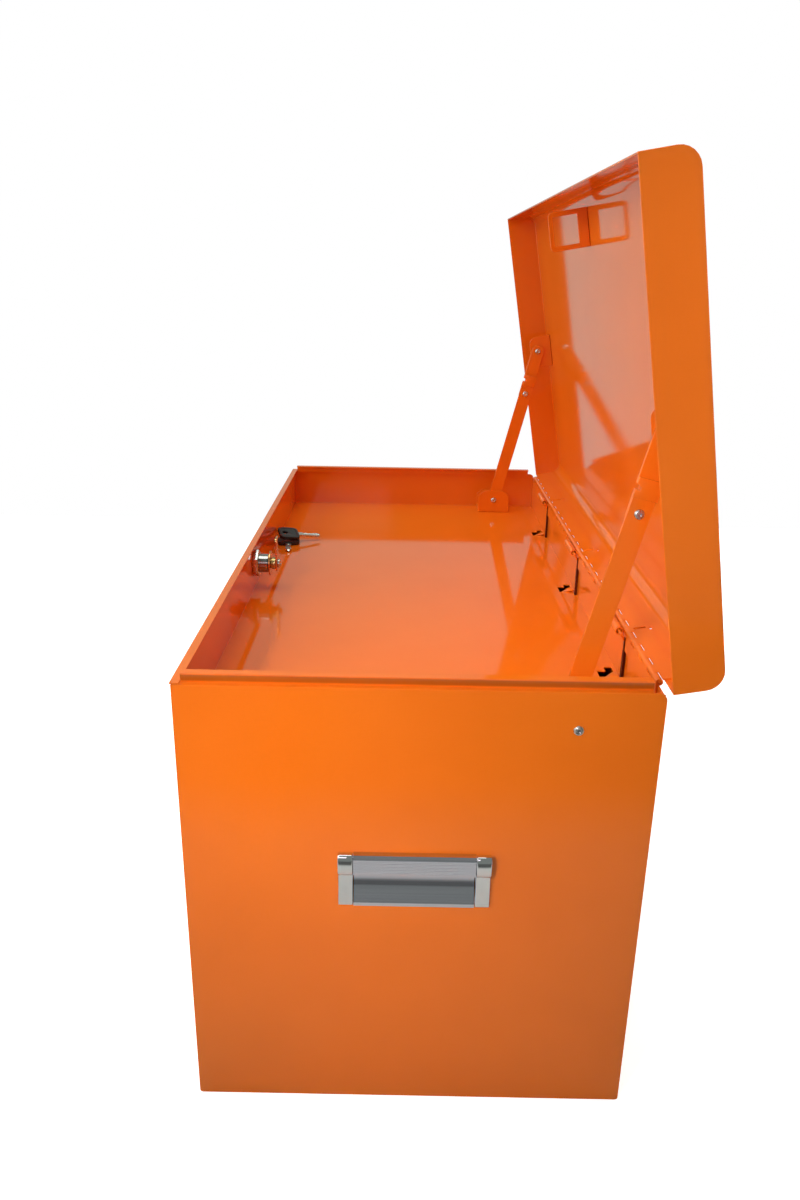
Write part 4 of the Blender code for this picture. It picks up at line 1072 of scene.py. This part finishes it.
# %% Handle section
def grip_outline():
    """The extrusion's section as (out, up) points, once round."""
    rise = HANDLE_RISE
    back = -HANDLE_POCKET
    top = HANDLE_HALF
    inner_low = -top + BORDER
    inner_high = top - BORDER
    grip_low = top - GRIP_DROP
    floor_low = inner_low + WALL
    points = [(SEAT, -top), (HANDLE_FOOT, -top), (HANDLE_FOOT, inner_low), (SEAT, floor_low)]
    for k in range(1, SCOOP_STEPS + 1):
        share = k / SCOOP_STEPS
        points.append((SEAT - SCOOP_DEPTH * share * (2 - share), floor_low * (1 - share)))
    points += [(back + WALL, WALL * 2), (back + WALL, inner_high - WALL * 2),
               (back + WALL * 2, inner_high - WALL), (SEAT, inner_high - WALL),
               (rise - WALL * 1.6, top - WALL * 1.6), (rise - WALL, grip_low + WALL),
               (rise - WALL * 2.4, grip_low + WALL * 0.6), (rise - WALL * 2.0, grip_low),
               (rise - WALL * 0.4, grip_low)]
    face_low = grip_low + WALL
    face_high = top - WALL * 2
    pitch = (face_high - face_low) / GRIP_RIBS
    for k in range(GRIP_RIBS):
        up = face_low + k * pitch
        points += [(rise - RIB_DEPTH * deep, up + pitch * share) for share, deep in RIB_CURVE]
    points += [(rise, face_high), (rise - WALL * 0.3, top - WALL), (rise - WALL, top - WALL * 0.35),
               (HANDLE_FOOT, top), (SEAT, top), (SEAT, inner_high), (back + WALL, inner_high),
               (back, inner_high - WALL * 2), (back, -WALL * 0.3), (SEAT - WALL, inner_low + WALL * 0.6),
               (SEAT - WALL, inner_low), (SEAT, inner_low)]
    return points


def extrusion(points, y_low, y_high):
    """An (out, up) outline walked by one point, filled, and pushed along Y."""
    walk_outline(points, y_low)
    bpy.ops.mesh.edge_face_add()
    bpy.ops.mesh.extrude_region_move(TRANSFORM_OT_translate={"value": (0.0, y_high - y_low, 0.0)})
    bpy.ops.mesh.select_all(action="SELECT")
    bpy.ops.mesh.normals_make_consistent(inside=False)
    bpy.ops.object.mode_set(mode="OBJECT")
    return bpy.context.object


grip_model = extrusion(grip_outline(), -GRIP_HALF, GRIP_HALF)
bpy.ops.object.shade_smooth_by_angle(angle=GRIP_SMOOTH)
print("the grip's section has", len(grip_outline()), "points")

# %% [markdown]
# A cap is the same kind of piece: its side view, a flat foot with a round bulge over the grip, is extruded
# and its rim is rolled. A plug behind it closes the pocket's end. The bulge is half a wave raised to a
# power below one, which makes it fuller than a circle.

# %% Handle caps
CAP_OVER = 0.001
CAP_STEPS = 16
CAP_FULLNESS = 0.6
CAP_ROLL = 0.0012
CAP_ROLL_STEPS = 4
CAP_SHARP = math.radians(50.0)


def cap_outline():
    """The cap's face from the side: a flat foot and a round bulge over the grip."""
    half = (GRIP_DROP + CAP_OVER) / 2
    points = [(SEAT, -HANDLE_HALF), (HANDLE_FOOT, -HANDLE_HALF)]
    for k in range(CAP_STEPS + 1):
        angle = math.pi * k / CAP_STEPS
        bulge = (CAP_RISE - HANDLE_FOOT) * math.sin(angle) ** CAP_FULLNESS
        points.append((HANDLE_FOOT + bulge, HANDLE_HALF - half - half * math.cos(angle)))
    return points + [(SEAT, HANDLE_HALF)]


def handle_cap(side):
    """One chromed end cap with the plug that closes the pocket's end."""
    inner = GRIP_HALF + SEAT
    cap = extrusion(cap_outline(), *sorted((side * inner, side * CAP_END)))
    roll_edges(cap, CAP_ROLL, CAP_ROLL_STEPS, CAP_SHARP)
    up = HANDLE_HALF - BORDER
    plug_outline = [(-HANDLE_POCKET, -up), (SEAT * 2, -up), (SEAT * 2, up), (-HANDLE_POCKET, up)]
    plug = extrusion(plug_outline, *sorted((side * inner, side * (CAP_END - BORDER))))
    pick(cap)
    plug.select_set(True)
    bpy.ops.object.join()
    return cap


cap_models = {1: handle_cap(1), -1: handle_cap(-1)}
print("a cap has", len(cap_models[1].data.polygons), "faces")

# %% Set the handles
for side, word in ((1, "right"), (-1, "left")):
    spot = Matrix.Translation((side * END_X, 0.0, HANDLE_Z))
    spot = spot @ Matrix.Rotation(0.0 if side > 0 else math.pi, 4, "Z")
    settle(placed_twin(grip_model, spot), word + "_grip", end_alloy, "handle_alloy", "cabinet",
           word + "_handle_profile")
    for hand, name in ((-side, "front"), (side, "rear")):
        settle(placed_twin(cap_models[hand], spot), word + "_" + name + "_cap", chrome, "cap_chrome",
               "cabinet", word + "_handle_" + name + "_cap")
for node in drawers:
    pull = node.replace("drawer_", "pull_")
    low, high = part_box(pull)
    spot = Matrix.Translation(((low.x + high.x) / 2, front, (low.z + high.z) / 2))
    spot = spot @ Matrix.Rotation(-math.pi / 2, 4, "Z")
    settle(placed_twin(grip_model, spot), pull + "_grip", front_alloy, "handle_alloy", carrier[pull], pull)
    for hand, name in ((1, "left"), (-1, "right")):
        settle(placed_twin(cap_models[hand], spot), pull + "_" + name + "_cap", chrome, "cap_chrome",
               carrier[pull])
for model in (grip_model, *cap_models.values()):
    bpy.data.objects.remove(model)
print("made", 2 + len(drawers), "handles: 2 on the ends and", len(drawers), "on the drawers")

# %% [markdown]
# ## The lock bars and their push tubes
# Three lock bars stand in the back wall. The lid pushes down on a short tube at the top of each one. The
# rod is bare dark steel with a red tint that is painted reflection, while the tube and the link that carries
# it were painted with the chest. One material with a mask could paint both, but two pieces keep a clean
# edge. So a copy of each bar is cut by a plane in front of the rod with Bisect, and what lies before the
# plane is separated. Both halves are open at the cut, so their open edges are filled. Between the tray and
# the hinge, where the rod is seen, it is widened a little, so that it also darkens the slot beside it as
# painted shade.

# %% Lock bar helpers
ROD_FACE = 0.0021
ROD_HALF = 0.0015
ROD_SHADE_WIDER = 0.0009
ROD_SHOULDER = 0.0004
ROD_DIP = 0.004
LINK_DROP = 0.02


def part_off(bar, wall, beside, height):
    """Separates what is above a height and before a wall plane or beside the rod, and closes both."""
    pick(bar)
    bpy.ops.object.mode_set(mode="EDIT")
    bpy.ops.mesh.select_mode(type="VERT")
    bpy.ops.mesh.select_all(action="SELECT")
    bpy.ops.mesh.bisect(plane_co=(0.0, wall, 0.0), plane_no=(0.0, 1.0, 0.0))
    bpy.ops.object.mode_set(mode="OBJECT")

    def on_link(face):
        return face.center.z > height and (face.center.y < wall or face.center.x < beside)

    select_in_edit(bar, "FACE", on_link)
    bpy.ops.mesh.separate(type="SELECTED")
    bpy.ops.object.mode_set(mode="OBJECT")
    link = [piece for piece in bpy.context.selected_objects if piece != bar][0]
    for piece in (bar, link):
        pick(piece)
        bpy.ops.object.mode_set(mode="EDIT")
        bpy.ops.mesh.select_mode(type="EDGE")
        bpy.ops.mesh.select_all(action="DESELECT")
        bpy.ops.mesh.select_non_manifold()
        bpy.ops.mesh.edge_face_add()
        bpy.ops.mesh.select_all(action="SELECT")
        bpy.ops.mesh.normals_make_consistent(inside=False)
        bpy.ops.object.mode_set(mode="OBJECT")
    return link


def widen_rod_over_slot_shade(bar, rod_x, low, high):
    """Widens the dark rod between two heights, where it stands free before the wall, as painted shade over
    its slot.
    """
    pick(bar)
    bpy.ops.object.mode_set(mode="EDIT")
    for height in (low, low + ROD_SHOULDER, high - ROD_SHOULDER, high):
        bpy.ops.mesh.select_all(action="SELECT")
        bpy.ops.mesh.bisect(plane_co=(0.0, 0.0, height), plane_no=(0.0, 0.0, 1.0))
    bpy.ops.object.mode_set(mode="OBJECT")
    for point in bar.data.vertices:
        if low + ROD_SHOULDER / 2 < point.co.z < high - ROD_SHOULDER / 2:
            point.co.x += math.copysign(ROD_SHADE_WIDER, point.co.x - rod_x)
    bpy.ops.mesh.customdata_custom_splitnormals_clear()
    bpy.ops.object.shade_smooth_by_angle(angle=SMOOTH)


# %% [markdown]
# The CAD tube is a plain ring with few sides. A sleeve from the lathe, one skin of paint thicker, gives it
# a truly round wall and rounded rims.

# %% Lock bars and push tubes
TUBE_RADIUS = 0.003
TUBE_BORE = 0.0021
TUBE_LENGTH = 0.036
TUBE_STAND = 0.0044
TUBE_STEPS = 28
PAINT_SKIN = 0.0001
TUBE_LIP = 0.0004
TUBE_ROUND = 0.0003


def tube_profile():
    """The sleeve's ring as (x, radius) points, once round and closed."""
    outer = TUBE_RADIUS + PAINT_SKIN
    inner = TUBE_BORE - PAINT_SKIN
    start = -TUBE_LIP
    end = TUBE_LENGTH + TUBE_LIP
    ring = [(start, inner + TUBE_ROUND), (start, outer - TUBE_ROUND), (start + TUBE_ROUND, outer),
            (end - TUBE_ROUND, outer), (end, outer - TUBE_ROUND), (end, inner + TUBE_ROUND),
            (end - TUBE_ROUND, inner), (start + TUBE_ROUND, inner)]
    return ring + ring[:1]


back_wall = shell_high.y - SHEET
rod_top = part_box("hinge_body_leaf")[0].z - ROD_SHOULDER
tube_model = lathe(tube_profile(), TUBE_STEPS)
for word, rod_x in rods.items():
    node = "lock_bar_" + word
    low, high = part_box(node)
    bar = rolled_copy(node, 0.0, 0)
    link = part_off(bar, back_wall - ROD_FACE, rod_x - ROD_HALF, high.z - LINK_DROP)
    # Painted shade: the dark rod is widened over the slot's shadow.
    widen_rod_over_slot_shade(bar, rod_x, tray_floor - ROD_DIP, rod_top)
    settle(bar, node + "_rod", dark_steel, "dark_steel", carrier[node], node)
    settle(link, "push_link_" + word, paint, "orange_enamel", carrier[node])
    spot = Matrix.Translation((low.x, back_wall - TUBE_STAND, high.z - TUBE_RADIUS))
    settle(placed_twin(tube_model, spot), "push_tube_" + word, paint, "orange_enamel", carrier[node])
bpy.data.objects.remove(tube_model)
print("parted", len(rods), "lock bars and sleeved their push tubes")

# %% [markdown]
# ## Tongues and stops
# Two small folded pieces finish the mechanism. In each cut-out of the tray's floor a painted corner tongue
# is turned up a little, and each lower stay arm carries a stop tab at its upper end, where it meets the
# upper arm when the lid is up. Both are flat sheet, so both come from an extruded outline like the
# handles, with rolled edges. One notch goes through the tab and the upper arm behind it, so the same
# cutter opens both.

# %% Tray tongues
CUTOUT_NEAR = 0.0055
CUTOUT_REAR = 0.0025
TONGUE_ROOT = 0.0008
TONGUE_LENGTH = 0.0095
TONGUE_WIDTH = 0.0098
TONGUE_TIP = 0.0022
TONGUE_LEAN = math.radians(13.0)
TAB_ROLL = 0.0003

tongue_outline = [(TONGUE_ROOT, TONGUE_ROOT), (-TONGUE_LENGTH, TONGUE_ROOT), (-TONGUE_LENGTH, -TONGUE_TIP),
                  (-TONGUE_TIP, -TONGUE_WIDTH), (TONGUE_ROOT, -TONGUE_WIDTH)]
tongue_model = extrusion(tongue_outline, 0.0, SHEET)
roll_edges(tongue_model, TAB_ROLL, SMALL_STEPS)
lift = TONGUE_WIDTH * math.sin(TONGUE_LEAN)
for word, rod_x in rods.items():
    spot = Matrix.Translation((rod_x - CUTOUT_NEAR, back_wall - CUTOUT_REAR, tray_floor + lift))
    spot = spot @ Matrix.Rotation(TONGUE_LEAN - math.pi / 2, 4, "X")
    settle(placed_twin(tongue_model, spot), "tray_tongue_" + word, paint, "orange_enamel", "cabinet")
bpy.data.objects.remove(tongue_model)
print("the tongues rise %.1f mm above the tray's floor" % (lift * 1000))

# %% Stop tabs
STOP_LOW = 0.0095
STOP_HIGH = 0.022
STOP_HALF = 0.0078
STOP_THICK = 0.0019
NOTCH_LOW = 0.0140
NOTCH_HIGH = 0.0180
NOTCH_DEEP = 0.0030

stop_outline = [(-STOP_HALF, STOP_LOW), (STOP_HALF, STOP_LOW),
                (STOP_HALF, STOP_HIGH), (-STOP_HALF, STOP_HIGH)]
stop_model = extrusion(stop_outline, -STOP_THICK, 0.0)
notch_edge = NOTCH_DEEP - STOP_HALF
notch_outline = [(notch_edge, NOTCH_LOW), (notch_edge, NOTCH_HIGH - NOTCH_DEEP / 2),
                 (-STOP_HALF, NOTCH_HIGH), (-STOP_HALF * 2, NOTCH_HIGH), (-STOP_HALF * 2, NOTCH_LOW)]
cutter_model = extrusion(notch_outline, -STOP_THICK * 4, STOP_THICK * 4)
for side in ("right", "left"):
    knee_low, knee_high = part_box(side + "_knee_rivet")
    lid_low, lid_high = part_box(side + "_upper_rivet")
    knee = (knee_low + knee_high) / 2
    end = (lid_low + lid_high) / 2
    lean = math.atan2(end.y - knee.y, end.z - knee.z)
    arm_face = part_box(side + "_lower_arm")[1].x
    spot = Matrix.Translation((arm_face, knee.y, knee.z)) @ Matrix.Rotation(-lean, 4, "X")
    spot = spot @ Matrix.Rotation(math.pi / 2, 4, "Z")
    stop = placed_twin(stop_model, spot)
    cutter = placed_twin(cutter_model, spot)
    for piece in (stop, bpy.data.objects[side + "_upper_arm_rolled"]):
        cut_away(piece, cutter)
    bpy.data.objects.remove(cutter)
    roll_edges(stop, TAB_ROLL, SMALL_STEPS)
    settle(stop, side + "_stop_tab", paint, "orange_enamel", carrier[side + "_lower_arm"])
for model in (cutter_model, stop_model):
    bpy.data.objects.remove(model)
print("made 2 stop tabs, leaning %.1f degrees" % math.degrees(lean))

# %% [markdown]
# ## The CAD nodes
# By now every CAD node has a dressed piece in its place. The nodes stay hidden behind them, and each one
# gets the finish of its material slot in the record. If one were still shown, its name would be printed.

# %% Paint the CAD nodes
SLOTS = {"orange_enamel": paint, "handle_alloy": end_alloy, "cap_chrome": chrome, "zinc_steel": zinc,
         "dark_steel": dark_steel, "lock_brass": brass, "key_black": key_plastic}

still_shown = []
for part in frame["record"]["subparts"]:
    node = nodes[part["node"]]
    node.data.materials.clear()
    node.data.materials.append(SLOTS[part["material_slot"]])
    if not node.hide_render:
        still_shown.append(part["node"])
print("CAD nodes still shown:", ", ".join(sorted(still_shown)) or "none")

# %% [markdown]
# ## Measure and finish
# The dressed chest is meant to keep the CAD model's size, so its visual box is measured and printed.

# %% Finish
low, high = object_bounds()
print("visual box", [round(x, 4) for x in low], [round(x, 4) for x in high])
